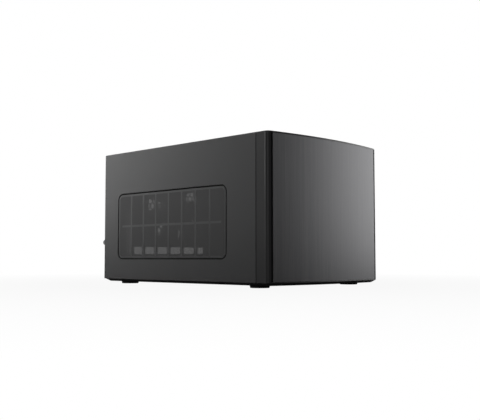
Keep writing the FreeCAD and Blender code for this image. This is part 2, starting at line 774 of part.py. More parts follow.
def make_front_frame():
    rim = on_xz(y_rim)
    radius = 6.0
    opening = round_rectangle(rim, -field_x, field_x, *field_z, radius)
    holes = [circle(rim, x, z, peg_radius + peg_clearance) for x, z in peg_places]
    outline = round_rectangle(rim, -x_wall + 0.2, x_wall - 0.2, z_skirt + 0.3, z_frame_top, edge_radius)
    plate = solid([outline, opening] + holes, V(0, frame_sheet, 0))
    front = on_xz(y_field)
    outer = round_rectangle(front, -field_x, field_x, *field_z, radius)
    inner = round_rectangle(front, -field_x + frame_sheet, field_x - frame_sheet,
                            field_z[0] + frame_sheet, field_z[1] - frame_sheet, radius - frame_sheet)
    skirt = solid([outer, inner], V(0, y_rim_back - y_field, 0))
    openings = []
    for side in (-1, 1):
        x = side * front_fan_x
        openings.append(circle(front, x, front_fan_height, front_fan_size / 2 - fan_wall - 0.6))
        for hole_x, hole_z in fan_hole_places(x, front_fan_height, front_fan_holes):
            openings.append(circle(front, hole_x, hole_z, fan_screw_radius + thread_clearance))
    field = solid([round_rectangle(front, -field_x, field_x, *field_z, radius)] + openings,
                  V(0, frame_sheet, 0))
    shelf = block(-x_chassis + rail_width + 1, x_chassis - rail_width - 1, y_rim_back, y_rim_back + shelf_depth,
                  shelf_height - frame_sheet, shelf_height)
    slots = []
    for x in bracket_places:
        slots.append(block(x - hook_width / 2 - 0.3, x + hook_width / 2 + 0.3, hook_y - 0.3,
                           hook_y + bracket_sheet + 0.3, shelf_height - hook_drop, shelf_height + 1))
    return join(plate, skirt, field, shelf).cut(slots)


def make_front_filter():
    y0 = y_field - front_filter_stand - front_filter_depth
    place = on_xz(y0)
    x_out = field_x - 1.5
    z_out = (field_z[0] + 1.5, field_z[1] - 1.5)
    border = front_filter_border
    outline = round_rectangle(place, -x_out, x_out, *z_out, 5.0)
    windows = []
    spans = 6
    width = (2 * x_out - 2 * border) / spans
    rows = 3
    height = (z_out[1] - z_out[0] - 2 * border) / rows
    for i in range(spans):
        for j in range(rows):
            x = -x_out + border + i * width
            z = z_out[0] + border + j * height
            windows.append(round_rectangle(place, x + 1.2, x + width - 1.2, z + 1.2, z + height - 1.2, 1.5))
    frame = solid([outline] + windows, V(0, front_filter_depth, 0))
    pins = []
    for x in (-x_out + 2.5, x_out - 2.5):
        for z in (z_out[0] + 2.5, z_out[1] - 2.5):
            pins.append(rod(1.4, V(x, y0 + 1, z), V(0, 1, 0), y_field - y0 - 1))
    frame = join(frame, *pins)
    mesh = solid([round_rectangle(place, -x_out + 2, x_out - 2, z_out[0] + 2, z_out[1] - 2, 4.0)],
                 V(0, -mesh_sheet, 0))
    return frame, mesh


# Fans: frame with motor carrier, and a rotor whose shaft runs in the carrier's tube
def fan_blade(hub, tip, count, depth):
    sections = []
    for radius, share, rise in ((hub - 1.0, 0.80, 0.62), (tip + 3.0, 0.62, 0.36)):
        chord = 2 * math.pi * radius / count * share
        half = chord / 2
        climb = depth * rise / 2
        thick = 0.65
        middle = depth * 0.48
        corners = (V(radius, -half, middle - climb - thick), V(radius, half, middle + climb - thick),
                   V(radius, half, middle + climb + thick), V(radius, -half, middle - climb + thick))
        sections.append(Part.makePolygon(corners + corners[:1]))
    return Part.makeLoft(sections, True, True)


def make_fan(size, pitch, hub, count, centre_x, centre_z, face_y):
    half = size / 2
    bore = half - fan_wall - 0.6
    corner = size * 0.05
    flat = on_xy(0)
    plan = [round_rectangle(flat, -half, half, -half, half, corner), circle(flat, 0, 0, bore)]
    for i in (-1, 1):
        for j in (-1, 1):
            plan.append(circle(flat, i * pitch / 2, j * pitch / 2, fan_screw_radius + thread_clearance))
    frame = solid(plan, V(0, 0, fan_depth))
    waist = solid([round_rectangle(on_xy(4.0), -half - 1, half + 1, -half - 1, half + 1, corner),
                   circle(on_xy(4.0), 0, 0, bore + fan_wall)], V(0, 0, fan_depth - 8.0))
    posts = [rod(fan_screw_radius + 2.2, V(i * pitch / 2, j * pitch / 2, 0), V(0, 0, 1), fan_depth)
             for i in (-1, 1) for j in (-1, 1)]
    waist = waist.cut(posts)
    frame = frame.cut(waist)
    disc_low = fan_depth - 2.8
    disc = rod(hub, V(0, 0, disc_low), V(0, 0, 1), 2.8)
    arms = []
    for i in range(4):
        arm = block(hub - 1, bore + 0.8, -2.0, 2.0, disc_low, fan_depth)
        arm.rotate(V(0, 0, 0), V(0, 0, 1), 45 + 90 * i)
        arms.append(arm)
    tube = rod(4.0, V(0, 0, 8.0), V(0, 0, 1), disc_low - 7.5)
    stator = rod(hub - 4.0, V(0, 0, 10.0), V(0, 0, 1), disc_low - 12.0)
    bearing = rod(fan_shaft_radius + running_clearance, V(0, 0, 7.0), V(0, 0, 1), disc_low - 8.0)
    frame = join(frame, disc, tube, stator, *arms).cut(bearing)
    cup = rod(hub, V(0, 0, 3.0), V(0, 0, 1), disc_low - 3.5)
    cup = cup.makeFillet(1.2, [edge for edge in cup.Edges if edge.BoundBox.ZMax < 3.01])
    cup = cup.cut(rod(hub - 1.6, V(0, 0, 5.0), V(0, 0, 1), fan_depth))
    shaft = rod(fan_shaft_radius, V(0, 0, 4.5), V(0, 0, 1), disc_low - 7.0)
    tip = bore - blade_tip_gap
    first = fan_blade(hub, tip, count, fan_depth)
    keep = rod(tip, V(0, 0, 0), V(0, 0, 1), fan_depth).cut(rod(hub - 0.8, V(0, 0, 0), V(0, 0, 1), fan_depth))
    first = first.common(keep)
    blades = []
    for i in range(count):
        blade = first.copy()
        blade.rotate(V(0, 0, 0), V(0, 0, 1), i * 360.0 / count)
        blades.append(blade)
    rotor = join(cup, shaft, *blades)
    spot = FreeCAD.Placement(V(centre_x, face_y, centre_z), FreeCAD.Rotation(V(1, 0, 0), -90))
    frame.Placement = spot
    rotor.Placement = spot
    return frame, rotor


def fan_screw(x, y, z, towards):
    """Wide flat head on the metal, shank into the fan; towards is +1 or -1 along Y."""
    axis = V(0, towards, 0)
    head = rod(fan_screw_radius * 1.9, V(x, y - towards * 1.6, z), axis, 1.6)
    return join(head, rod(fan_screw_radius, V(x, y, z), axis, 8.0))


def make_fan_screws():
    screws = []
    for side in (-1, 1):
        for x, z in fan_hole_places(side * front_fan_x, front_fan_height, front_fan_holes):
            screws.append(fan_screw(x, y_field, z, 1))
    for x, z in fan_hole_places(rear_fan_x, rear_fan_height, rear_fan_holes):
        screws.append(fan_screw(x, y_panel, z, -1))
    return Part.makeCompound(screws)


# Rear panel with its openings
def rear_grille(place):
    radius = rear_fan_size / 2 - fan_wall - 2.0
    pitch = grille_hex_flats + grille_hex_web
    rows = int(radius / (pitch * math.sqrt(3) / 2)) + 1
    wires = []
    for j in range(-rows, rows + 1):
        shift = pitch / 2 if j % 2 else 0.0
        for i in range(-rows - 1, rows + 2):
            x = i * pitch + shift
            z = j * pitch * math.sqrt(3) / 2
            if math.hypot(x, z) + grille_hex_flats * 0.58 < radius:
                wires.append(hexagon(place, rear_fan_x + x, rear_fan_height + z, grille_hex_flats, math.pi / 6))
    return wires


def slot_x(index):
    return slot_first - index * slot_pitch


def make_rear_panel():
    place = on_xz(y_panel_in)
    outline = round_rectangle(place, -x_chassis, x_chassis, z_skirt, z_frame_top, 1.5)
    holes = rear_grille(place)
    holes.append(rectangle(place, io_left, io_left + io_width, z_io, z_io + io_height))
    for x, z in fan_hole_places(rear_fan_x, rear_fan_height, rear_fan_holes):
        holes.append(circle(place, x, z, fan_screw_radius + thread_clearance))
    for index in range(2):
        x = slot_x(index)
        holes.append(rectangle(place, x - slot_open_width / 2, x + slot_open_width / 2,
                               slot_low, slot_low + slot_open_height))
    half_slots = slot_cover_width / 2 + 1.0
    slit = (slot_x(1) - half_slots, slot_x(0) + half_slots)
    holes.append(rectangle(place, slit[0], slit[1], slot_tab_height - frame_sheet,
                           slot_tab_height + slot_cover_sheet + 1.0))
    width, height = inlet_body
    holes.append(rectangle(place, inlet_x - width / 2 - 0.2, inlet_x + width / 2 + 0.2,
                           inlet_z - height / 2 - 0.2, inlet_z + height / 2 + 0.2))
    for side in (-1, 1):
        holes.append(circle(place, inlet_x, inlet_z + side * inlet_screw_pitch / 2, 1.6))
    holes.append(rectangle(place, switch_x - switch_slot[0] / 2, switch_x + switch_slot[0] / 2,
                           switch_z - switch_slot[1] / 2, switch_z + switch_slot[1] / 2))
    for x, z in cover_screw_places():
        holes.append(circle(place, x, z, thumb_shank_radius + thread_clearance))
    panel = solid([outline] + holes, V(0, frame_sheet, 0))
    flanges = []
    fold = 9.0
    for side in (-1, 1):
        x0, x1 = sorted((side * x_chassis, side * (x_chassis - frame_sheet)))
        flanges.append(block(x0, x1, y_panel_in - fold, y_panel_in + frame_sheet / 2,
                             z_skirt + tray_wall_height + 3, z_frame_top - rail_height - 1))
    ledge = block(slit[0], slit[1], y_panel_in, y_rear + rear_reach, slot_tab_height - frame_sheet,
                  slot_tab_height)
    turned = block(slit[0], slit[1], y_rear + rear_reach - frame_sheet, y_rear + rear_reach,
                   slot_tab_height - 5.0, slot_tab_height)
    screw_y = y_panel + slot_tab_length / 2
    ledge_holes = [rod(thumb_shank_radius + thread_clearance, V(slot_x(i), screw_y, slot_tab_height - 3),
                       V(0, 0, 1), 6) for i in range(2)]
    return join(panel, ledge, turned, *flanges).cut(ledge_holes)


def make_slot_cover(index):
    x = slot_x(index)
    half = slot_cover_width / 2
    place = on_xz(y_panel_in - slot_cover_sheet)
    first = slot_low + (slot_open_height - (slot_dots - 1) * slot_dot_pitch) / 2
    dots = []
    for i in range(slot_dots):
        for side in (-1, 1):
            dots.append(circle(place, x + side * 2.6, first + i * slot_dot_pitch, slot_dot_radius))
    outline = polygon(place, ((x - half * 0.55, slot_cover_low), (x + half * 0.55, slot_cover_low),
                              (x + half * 0.55, slot_low - 4), (x + half, slot_low - 2),
                              (x + half, slot_tab_height + slot_cover_sheet),
                              (x - half, slot_tab_height + slot_cover_sheet),
                              (x - half, slot_low - 2), (x - half * 0.55, slot_low - 4)))
    strip = solid([outline] + dots, V(0, slot_cover_sheet, 0))
    tab = block(x - half, x + half, y_panel_in - slot_cover_sheet, y_panel + slot_tab_length,
                slot_tab_height, slot_tab_height + slot_cover_sheet)
    hole = rod(thumb_shank_radius + screw_hole_clearance, V(x, y_panel + slot_tab_length / 2, slot_tab_height - 1),
               V(0, 0, 1), 4)
    return join(strip, tab).cut(hole)


def make_slot_screws():
    return Part.makeCompound([
        thumbscrew(V(slot_x(i), y_panel + slot_tab_length / 2, slot_tab_height + slot_cover_sheet), V(0, 0, 1),
                   thumb_head_radius, 5.0, thumb_shank_radius, 4.0) for i in range(2)])


# Rails along the top, crossbar, and the white brackets that hang the drives
def make_rail(side):
    x_out = side * x_chassis
    x_in = side * (x_chassis - rail_width)
    web_x = sorted((x_out, x_out - side * frame_sheet))
    top_x = sorted((x_out, x_in))
    rail = join(block(*web_x, y_rim_back, y_panel_in, z_frame_top - rail_height, z_frame_top),
                block(*top_x, y_rim_back, y_panel_in, z_frame_top - frame_sheet, z_frame_top))
    slots = []
    count = 5
    length = y_panel_in - y_rim_back
    for i in range(count):
        y = y_rim_back + length * (i + 0.5) / count
        wire = stadium(on_yz(x_out - side * 2), y - 20, y + 20, z_frame_top - rail_height / 2, 2.0)
        slots.append(solid([wire], V(side * 4, 0, 0)))
    return rail.cut(slots)


def make_crossbar():
    x_in = x_chassis - frame_sheet
    y0 = y_crossbar
    y1 = y_crossbar + crossbar_width
    z1 = shelf_height
    z0 = z1 - crossbar_height
    outer = block(-x_in, x_in, y0, y1, z0, z1)
    inner = block(-x_in + tray_sheet, x_in - tray_sheet, y0 + tray_sheet, y1 - tray_sheet, z0 - 1, z1 - tray_sheet)
    ears = [block(*sorted((side * x_in, side * (x_in - tray_sheet))), y0, y1, z1 - 1,
                  z_frame_top - frame_sheet) for side in (-1, 1)]
    holes = [rod(thumb_shank_radius + thread_clearance, V(x, y0 + crossbar_width / 2, z1 - 3), V(0, 0, 1), 6)
             for x in bracket_places]
    return join(outer.cut(inner), *ears).cut(holes)


def drive_hole_places():
    y_first = bracket_y[1] - drive_hole_rear
    z_first = shelf_height - drive_hole_top
    return [(y_first - i * drive_hole_pitch_y, z_first - j * drive_hole_pitch_z)
            for i in (0, 1) for j in (0, 1)]


def make_drive_bracket(x):
    half = bracket_width / 2
    y0, y1 = bracket_y
    z0 = shelf_height + bracket_sheet - bracket_wall_height
    walls = []
    middle_y = bracket_y[1] - drive_hole_rear - drive_hole_pitch_y / 2
    window_y = (middle_y - wall_window_width / 2, middle_y + wall_window_width / 2)
    window_z = (z0 + wall_window_margin, shelf_height - wall_window_margin)
    for side in (-1, 1):
        x_out = x + side * half
        place = on_yz(x_out)
        outline = polygon(place, ((y0 + 14, z0), (y1 - 8, z0), (y1, z0 + 8), (y1, shelf_height + bracket_sheet),
                                  (y0, shelf_height + bracket_sheet), (y0, z0 + 14)))
        holes = [circle(place, y, z, grommet_neck) for y, z in drive_hole_places()]
        holes.append(round_rectangle(place, *window_y, *window_z, wall_window_radius))
        front_low = y0 + wall_slot_end
        front_high = window_y[0] - 2 * grommet_radius - 2
        halfway = (front_low + front_high) / 2
        half_bar = wall_slot_bar / 2
        holes.append(round_rectangle(place, front_low, halfway - half_bar, *window_z, wall_slot_radius))
        holes.append(round_rectangle(place, halfway + half_bar, front_high, *window_z, wall_slot_radius))
        holes.append(round_rectangle(place, window_y[1] + 2 * grommet_radius + 2, y1 - 8, *window_z,
                                     wall_slot_radius))
        walls.append(solid([outline] + holes, V(-side * bracket_sheet, 0, 0)))
    web_place = on_xy(shelf_height)
    y_tab = y_crossbar + crossbar_width - 1
    window_width, window_length = web_window
    web_holes = []
    for i in range(3):
        start = y0 + web_window_first + i * (window_length + web_window_bar)
        web_holes.append(round_rectangle(web_place, x - window_width / 2, x + window_width / 2,
                                         start, start + window_length, web_window_radius))
    web_holes.append(circle(web_place, x, y_crossbar + crossbar_width / 2,
                            thumb_shank_radius + screw_hole_clearance))
    web = solid([polygon(web_place, (
        (x - half, y0), (x - hook_width, y0 - 4), (x - hook_width / 2, hook_y), (x + hook_width / 2, hook_y),
        (x + hook_width, y0 - 4), (x + half, y0), (x + half, y1), (x + 14, y1 + 2), (x + 14, y_tab),
        (x - 14, y_tab), (x - 14, y1 + 2), (x - half, y1)))] + web_holes, V(0, 0, bracket_sheet))
    hook = block(x - hook_width / 2, x + hook_width / 2, hook_y, hook_y + bracket_sheet,
                 shelf_height - hook_drop, shelf_height + bracket_sheet)
    return join(web, hook, *walls)


def make_drive_grommets(x):
    pieces = []
    for side in (-1, 1):
        x_out = x + side * bracket_width / 2
        axis = V(-side, 0, 0)
        for y, z in drive_hole_places():
            outer = rod(grommet_radius, V(x_out + side * grommet_lip, y, z), axis, grommet_lip)
            neck = rod(grommet_neck, V(x_out, y, z), axis, bracket_sheet)
            inner = rod(grommet_radius, V(x_out - side * bracket_sheet, y, z), axis, grommet_lip)
            bore = rod(grommet_bore, V(x_out + side * 5, y, z), axis, 12)
            pieces.append(outer.fuse([neck, inner]).removeSplitter().cut(bore))
    return Part.makeCompound(pieces)


def make_bracket_screws():
    return Part.makeCompound([
        thumbscrew(V(x, y_crossbar + crossbar_width / 2, shelf_height + bracket_sheet), V(0, 0, 1),
                   thumb_head_radius, bracket_head_length, thumb_shank_radius, 5.0)
        for x in bracket_places])


# Bracket and pads for the power supply
def make_psu_bracket():
    x0 = psu_right
    place = on_yz(x0)
    y0 = psu_y - psu_plate_margin
    y1 = psu_y + psu_width + psu_plate_margin
    z1 = psu_z + psu_height + psu_plate_rise
    raised = intake_roof + tray_sheet + 0.2
    outline = polygon(place, (
        (y0, z_floor), (intake_y[0] - tray_sheet - 1, z_floor), (intake_y[0] - tray_sheet - 1, raised),
        (intake_y[1] + tray_sheet + 1, raised), (intake_y[1] + tray_sheet + 1, z_floor), (y1, z_floor),
        (y1, z1 - 8), (y1 - 8, z1), (y0 + 8, z1), (y0, z1 - 8)))
    holes = [circle(place, psu_y + a, psu_z + b, psu_screw_radius) for a, b in psu_holes]
    holes.append(round_rectangle(place, psu_y + 12, psu_y + psu_width - 12, psu_z + 12, psu_z + psu_height - 12,
                                 4.0))
    plate = solid([outline] + holes, V(tray_sheet, 0, 0))
    feet = [block(x0, x0 + psu_foot_fold, y0, intake_y[0] - tray_sheet - 1, z_floor, z_floor + tray_sheet),
            block(x0, x0 + psu_foot_fold, intake_y[1] + tray_sheet + 1, y1, z_floor, z_floor + tray_sheet)]
    stiffener = block(x0, x0 + 6.0, y0 + 8, y1 - 8, z1 - tray_sheet, z1)
    return join(plate, stiffener, *feet)


def make_psu_pads():
    x0 = psu_right - psu_length + 8
    x1 = x_board_holes[1] - boss_base_radius - 6
    y_front = intake_y[0] - tray_sheet - 1 - psu_pad_width
    y_back = intake_y[1] + tray_sheet + 1
    return Part.makeCompound([
        block(x0, x1, y_front, y_front + psu_pad_width, z_floor, psu_z),
        block(x0, x1, y_back, y_back + psu_pad_width, z_floor, psu_z)])


# Mains inlet with three blades, turned upright
def make_inlet():
    width, height = inlet_body
    flange_w, flange_h = inlet_flange
    place = on_xz(y_panel)
    flange = solid([round_rectangle(place, inlet_x - flange_w / 2, inlet_x + flange_w / 2,
                                    inlet_z - flange_h / 2, inlet_z + flange_h / 2, 6.0)]
                   + [circle(place, inlet_x, inlet_z + side * inlet_screw_pitch / 2, 1.6) for side in (-1, 1)],
                   V(0, inlet_flange_sheet, 0))
    body = block(inlet_x - width / 2, inlet_x + width / 2, y_panel - inlet_depth, y_panel + 0.5,
                 inlet_z - height / 2, inlet_z + height / 2)
    mouth_w, mouth_h = inlet_mouth
    y_face = y_panel + inlet_flange_sheet
    cut = 4.5
    x0 = inlet_x - mouth_w / 2
    x1 = inlet_x + mouth_w / 2
    z0 = inlet_z - mouth_h / 2
    z1 = inlet_z + mouth_h / 2
    mouth = solid([polygon(on_xz(y_face + 1), ((x0, z0), (x1 - cut, z0), (x1, z0 + cut), (x1, z1 - cut),
                                               (x1 - cut, z1), (x0, z1)))], V(0, -inlet_mouth_depth - 1, 0))
    housing = join(flange, body).cut(mouth)
    floor_y = y_face - inlet_mouth_depth
    blades = []
    for x, z in ((inlet_x - 2.0, inlet_z - 7.0), (inlet_x - 2.0, inlet_z + 7.0), (inlet_x + 2.0, inlet_z)):
        blades.append(block(x - 2.0, x + 2.0, floor_y - 2, y_face - inlet_blade_recess, z - 1.0, z + 1.0))
    housing = housing.cut(blades)
    screws = []
    for side in (-1, 1):
        spot = V(inlet_x, y_face, inlet_z + side * inlet_screw_pitch / 2)
        screws.append(join(rod(2.8, spot, V(0, 1, 0), 1.6),
                           rod(1.5, spot, V(0, -1, 0), inlet_flange_sheet + frame_sheet + 3)))
    return housing, Part.makeCompound(blades), Part.makeCompound(screws)


# Speed switch for the fans, behind the rear panel
def make_fan_switch():
    length, height, depth = switch_body
    knob_w, knob_h = switch_knob
    body = block(switch_x - length / 2, switch_x + length / 2, y_panel_in - depth, y_panel_in,
                 switch_z - height / 2, switch_z + height / 2)
    play = 0.25
    track = block(switch_x - knob_w / 2 - switch_travel - play, switch_x + knob_w / 2 + switch_travel + play,
                  y_panel_in - depth + 2.0, y_panel_in + 1, switch_z - knob_h / 2 - play,
                  switch_z + knob_h / 2 + play)
    knob = block(switch_x - knob_w / 2, switch_x + knob_w / 2, y_panel_in - depth + 2.0 + play, y_panel + 1.2,
                 switch_z - knob_h / 2, switch_z + knob_h / 2)
    knob = knob.cut([block(switch_x - 0.3 + i, switch_x + 0.3 + i, y_panel + 0.8, y_panel + 2,
                           switch_z - knob_h, switch_z + knob_h) for i in (-1.0, 0.0, 1.0)])
    return body.cut(track), knob


# Build and write every piece
save("cover", make_cover())
save("cover_thumbscrews", make_cover_thumbscrews())
side_frame, side_mesh = make_side_filter()
save("side_filter_frame", side_frame)
save("side_filter_mesh", side_mesh)
save("front_bezel", make_front_bezel())
save("front_plate", make_front_plate())
port_board, shells, tongues, jacks, switch, button, pipe = make_ports()
save("port_circuit_board", port_board)
for number, (shell, tongue) in enumerate(zip(shells, tongues), 1):
    save("usb_port_%d" % number, shell)
    save("usb_tongue_%d" % number, tongue)
save("microphone_jack", jacks[0])
save("headphone_jack", jacks[1])
save("power_switch", switch)
save("power_button", button)
save("light_pipe", pipe)
save("base_tray", make_base_tray())
foot_names = ("foot_front_left", "foot_rear_left", "foot_front_right", "foot_rear_right")
feet, foot_screws = make_feet()
for name, foot in zip(foot_names, feet):
    save(name, foot)
save("foot_screws", foot_screws)
save("motherboard_standoffs", make_standoffs())
intake_frame, intake_mesh = make_intake_filter()
save("intake_filter_frame", intake_frame)
save("intake_filter_mesh", intake_mesh)
save("front_frame", make_front_frame())
filter_frame, filter_mesh = make_front_filter()
save("front_filter_frame", filter_frame)
save("front_filter_mesh", filter_mesh)
for side, name in ((-1, "left"), (1, "right")):
    frame, rotor = make_fan(front_fan_size, front_fan_holes, front_hub_radius, front_fan_blade_count,
                            side * front_fan_x, front_fan_height, y_fan)
    save("front_fan_frame_" + name, frame)
    save("front_fan_rotor_" + name, rotor)
    save("upper_rail_" + name, make_rail(side))
frame, rotor = make_fan(rear_fan_size, rear_fan_holes, rear_hub_radius, rear_fan_blade_count,
                        rear_fan_x, rear_fan_height, y_rear_fan)
save("rear_fan_frame", frame)
save("rear_fan_rotor", rotor)
save("fan_screws", make_fan_screws())
save("rear_panel", make_rear_panel())
for index in range(2):
    save("slot_cover_%d" % (index + 1), make_slot_cover(index))
save("slot_thumbscrews", make_slot_screws())
save("drive_crossbar", make_crossbar())
for number, place_x in enumerate(bracket_places, 1):
    save("drive_bracket_%d" % number, make_drive_bracket(place_x))
    save("drive_grommets_%d" % number, make_drive_grommets(place_x))
save("bracket_thumbscrews", make_bracket_screws())
save("psu_bracket", make_psu_bracket())
save("psu_pads", make_psu_pads())
inlet, blades, inlet_screws = make_inlet()
save("mains_inlet", inlet)
save("mains_inlet_blades", blades)
save("mains_inlet_screws", inlet_screws)
switch_housing, switch_slider = make_fan_switch()
save("fan_switch_housing", switch_housing)
save("fan_switch_slider", switch_slider)
print("written", len(os.listdir("parts")))
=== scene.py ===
import bmesh
import bpy
import math
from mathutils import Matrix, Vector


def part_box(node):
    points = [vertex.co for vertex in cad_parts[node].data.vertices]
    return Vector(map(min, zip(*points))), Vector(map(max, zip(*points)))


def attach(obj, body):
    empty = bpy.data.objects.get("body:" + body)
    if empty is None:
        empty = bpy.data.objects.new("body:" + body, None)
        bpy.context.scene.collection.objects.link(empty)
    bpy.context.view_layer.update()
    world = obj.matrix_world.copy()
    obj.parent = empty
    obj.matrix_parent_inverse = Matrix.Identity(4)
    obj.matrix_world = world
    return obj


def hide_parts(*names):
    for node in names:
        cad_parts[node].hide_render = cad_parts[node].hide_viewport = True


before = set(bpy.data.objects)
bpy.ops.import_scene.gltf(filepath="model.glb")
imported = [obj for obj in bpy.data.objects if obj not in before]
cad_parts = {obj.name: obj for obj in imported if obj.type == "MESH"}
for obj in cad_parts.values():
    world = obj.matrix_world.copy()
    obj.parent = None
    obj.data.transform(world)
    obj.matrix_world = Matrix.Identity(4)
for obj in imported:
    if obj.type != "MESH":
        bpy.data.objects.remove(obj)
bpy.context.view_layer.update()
scene = bpy.context.scene
scene.view_settings.view_transform = "Standard"


# Base tray, front frame, rear panel, rails, crossbar and slot covers: the chassis is pressed and
# folded from 1 mm and 1.2 mm steel, then powder coated black. The coat has a fine orange peel,
# and its sheen wanders a little from place to place.
FRAME_BLACK = (0.021, 0.021, 0.022)
FRAME_SHEEN = 0.46
CLOUD_SCALE = 14.0
CLOUD_DETAIL = 3.0
GRAIN_DETAIL = 2.0


def new_group(name, inputs, outputs):
    group = bpy.data.node_groups.new(name, "ShaderNodeTree")
    for label, default in inputs:
        socket = group.interface.new_socket(label, in_out="INPUT", socket_type="NodeSocketFloat")
        socket.default_value = default
    for label, kind in outputs:
        group.interface.new_socket(label, in_out="OUTPUT", socket_type=kind)
    return group, group.nodes.new("NodeGroupInput"), group.nodes.new("NodeGroupOutput")


def math_node(nodes, operation, *values):
    node = nodes.new("ShaderNodeMath")
    node.operation = operation
    for place, value in enumerate(values):
        if value is not None:
            node.inputs[place].default_value = value
    return node


def sheen_around(group, link, given, pattern, spread, sheen):
    """The group's sheen, plus the pattern's departure from its middle times the spread."""
    centred = math_node(group.nodes, "SUBTRACT", None, 0.5)
    total = math_node(group.nodes, "MULTIPLY_ADD")
    link(pattern, centred.inputs[0])
    link(centred.outputs[0], total.inputs[0])
    link(given.outputs[spread], total.inputs[1])
    link(given.outputs[sheen], total.inputs[2])
    return total.outputs[0]


def make_grain():
    group, given, result = new_group(
        "fine_grain",
        (("Grain", 900.0), ("Depth", 0.00004), ("Sheen", 0.4), ("Cloud", 0.04)),
        (("Roughness", "NodeSocketFloat"), ("Normal", "NodeSocketVector")))
    link = group.links.new
    place = group.nodes.new("ShaderNodeTexCoord")
    fine = group.nodes.new("ShaderNodeTexNoise")
    fine.inputs["Detail"].default_value = GRAIN_DETAIL
    slow = group.nodes.new("ShaderNodeTexNoise")
    slow.inputs["Scale"].default_value = CLOUD_SCALE
    slow.inputs["Detail"].default_value = CLOUD_DETAIL
    bump = group.nodes.new("ShaderNodeBump")
    for texture in (fine, slow):
        link(place.outputs["Object"], texture.inputs["Vector"])
    link(given.outputs["Grain"], fine.inputs["Scale"])
    link(fine.outputs[0], bump.inputs["Height"])
    link(given.outputs["Depth"], bump.inputs["Distance"])
    sheen = sheen_around(group, link, given, slow.outputs[0], "Cloud", "Sheen")
    link(sheen, result.inputs["Roughness"])
    link(bump.outputs[0], result.inputs["Normal"])
    return group


fine_grain = make_grain()


def plain_finish(name, colour, metallic=0.0):
    material = bpy.data.materials.new(name)
    material.use_nodes = True
    shader = material.node_tree.nodes["Principled BSDF"]
    shader.inputs["Base Color"].default_value = (*colour, 1)
    shader.inputs["Metallic"].default_value = metallic
    return material, shader


def place_group(material, group, values):
    node = material.node_tree.nodes.new("ShaderNodeGroup")
    node.node_tree = group
    for label, value in values.items():
        node.inputs[label].default_value = value
    return node


def grained(name, colour, sheen, metallic=0.0, grain=1500.0, depth=0.00003, cloud=0.04,
            specular=0.5):
    """A plain colour under the fine grain, for coats, mouldings, rubber and turned metal."""
    material, shader = plain_finish(name, colour, metallic)
    shader.inputs["Specular IOR Level"].default_value = specular
    node = place_group(material, fine_grain,
                       {"Grain": grain, "Depth": depth, "Sheen": sheen, "Cloud": cloud})
    link = material.node_tree.links.new
    link(node.outputs["Roughness"], shader.inputs["Roughness"])
    link(node.outputs["Normal"], shader.inputs["Normal"])
    return material


def dress(material, *names):
    for name in names:
        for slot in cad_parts[name].material_slots:
            slot.material = material


frame_coat = grained("frame_powder_coat", FRAME_BLACK, sheen=FRAME_SHEEN)
dress(frame_coat, "base_tray", "front_frame", "rear_panel", "upper_rail_left", "upper_rail_right",
      "drive_crossbar", "psu_bracket", "slot_cover_1", "slot_cover_2")

# Rivets: dome-headed blind rivets, black like the frame. Two at each end hold the crossbar between
# the rails, and four hold the power supply's bracket down on the tray.
RIVET_RADIUS = 0.0022
RIVET_RISE = 0.0008
RIVET_SEGMENTS = 20
RIVET_RINGS = 10
CROSSBAR_SHARES = (0.28, 0.72)
CROSSBAR_DROP = 0.0035
BRACKET_SHEET = 0.0012
BRACKET_INSET = 0.0085
BRACKET_ENDS = (0.006, 0.016)
UP = (0.0, 0.0, 0.0)
LEFT = (0.0, -math.pi / 2, 0.0)
RIGHT = (0.0, math.pi / 2, 0.0)


def tree_with(name, sizes):
    """A tree that grows geometry, with named number inputs, and the identifier of each."""
    tree = bpy.data.node_groups.new(name, "GeometryNodeTree")
    sockets = tree.interface
    sockets.new_socket("Geometry", in_out="INPUT", socket_type="NodeSocketGeometry")
    sockets.new_socket("Geometry", in_out="OUTPUT", socket_type="NodeSocketGeometry")
    keys = {}
    for label in sizes:
        size = sockets.new_socket(label, in_out="INPUT", socket_type="NodeSocketFloat")
        keys[label] = size.identifier
    return tree, keys, tree.nodes.new("NodeGroupInput"), tree.nodes.new("NodeGroupOutput")


def grown(name, places, tree, keys, sizes, body):
    """Runs the tree on points that carry a turn. The result is a plain mesh that rides on body."""
    points = bpy.data.meshes.new(name + "_places")
    points.from_pydata([place for place, _ in places], [], [])
    turns = points.attributes.new("turn", "FLOAT_VECTOR", "POINT")
    turns.data.foreach_set("vector", [number for _, turn in places for number in turn])
    seed = bpy.data.objects.new(name + "_places", points)
    scene.collection.objects.link(seed)
    modifier = seed.modifiers.new(name, "NODES")
    modifier.node_group = tree
    for label, value in sizes.items():
        modifier[keys[label]] = value
    bpy.context.view_layer.update()
    evaluated = seed.evaluated_get(bpy.context.evaluated_depsgraph_get())
    finished = bpy.data.meshes.new_from_object(evaluated)
    bpy.data.objects.remove(seed)
    piece = bpy.data.objects.new(name, finished)
    finished.name = name
    scene.collection.objects.link(piece)
    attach(piece, body)
    return piece


def end_tree(tree, instances, material, result):
    link = tree.links.new
    real = tree.nodes.new("GeometryNodeRealizeInstances")
    paint = tree.nodes.new("GeometryNodeSetMaterial")
    paint.inputs["Material"].default_value = material
    link(instances, real.inputs["Geometry"])
    link(real.outputs["Geometry"], paint.inputs["Geometry"])
    link(paint.outputs["Geometry"], result.inputs["Geometry"])


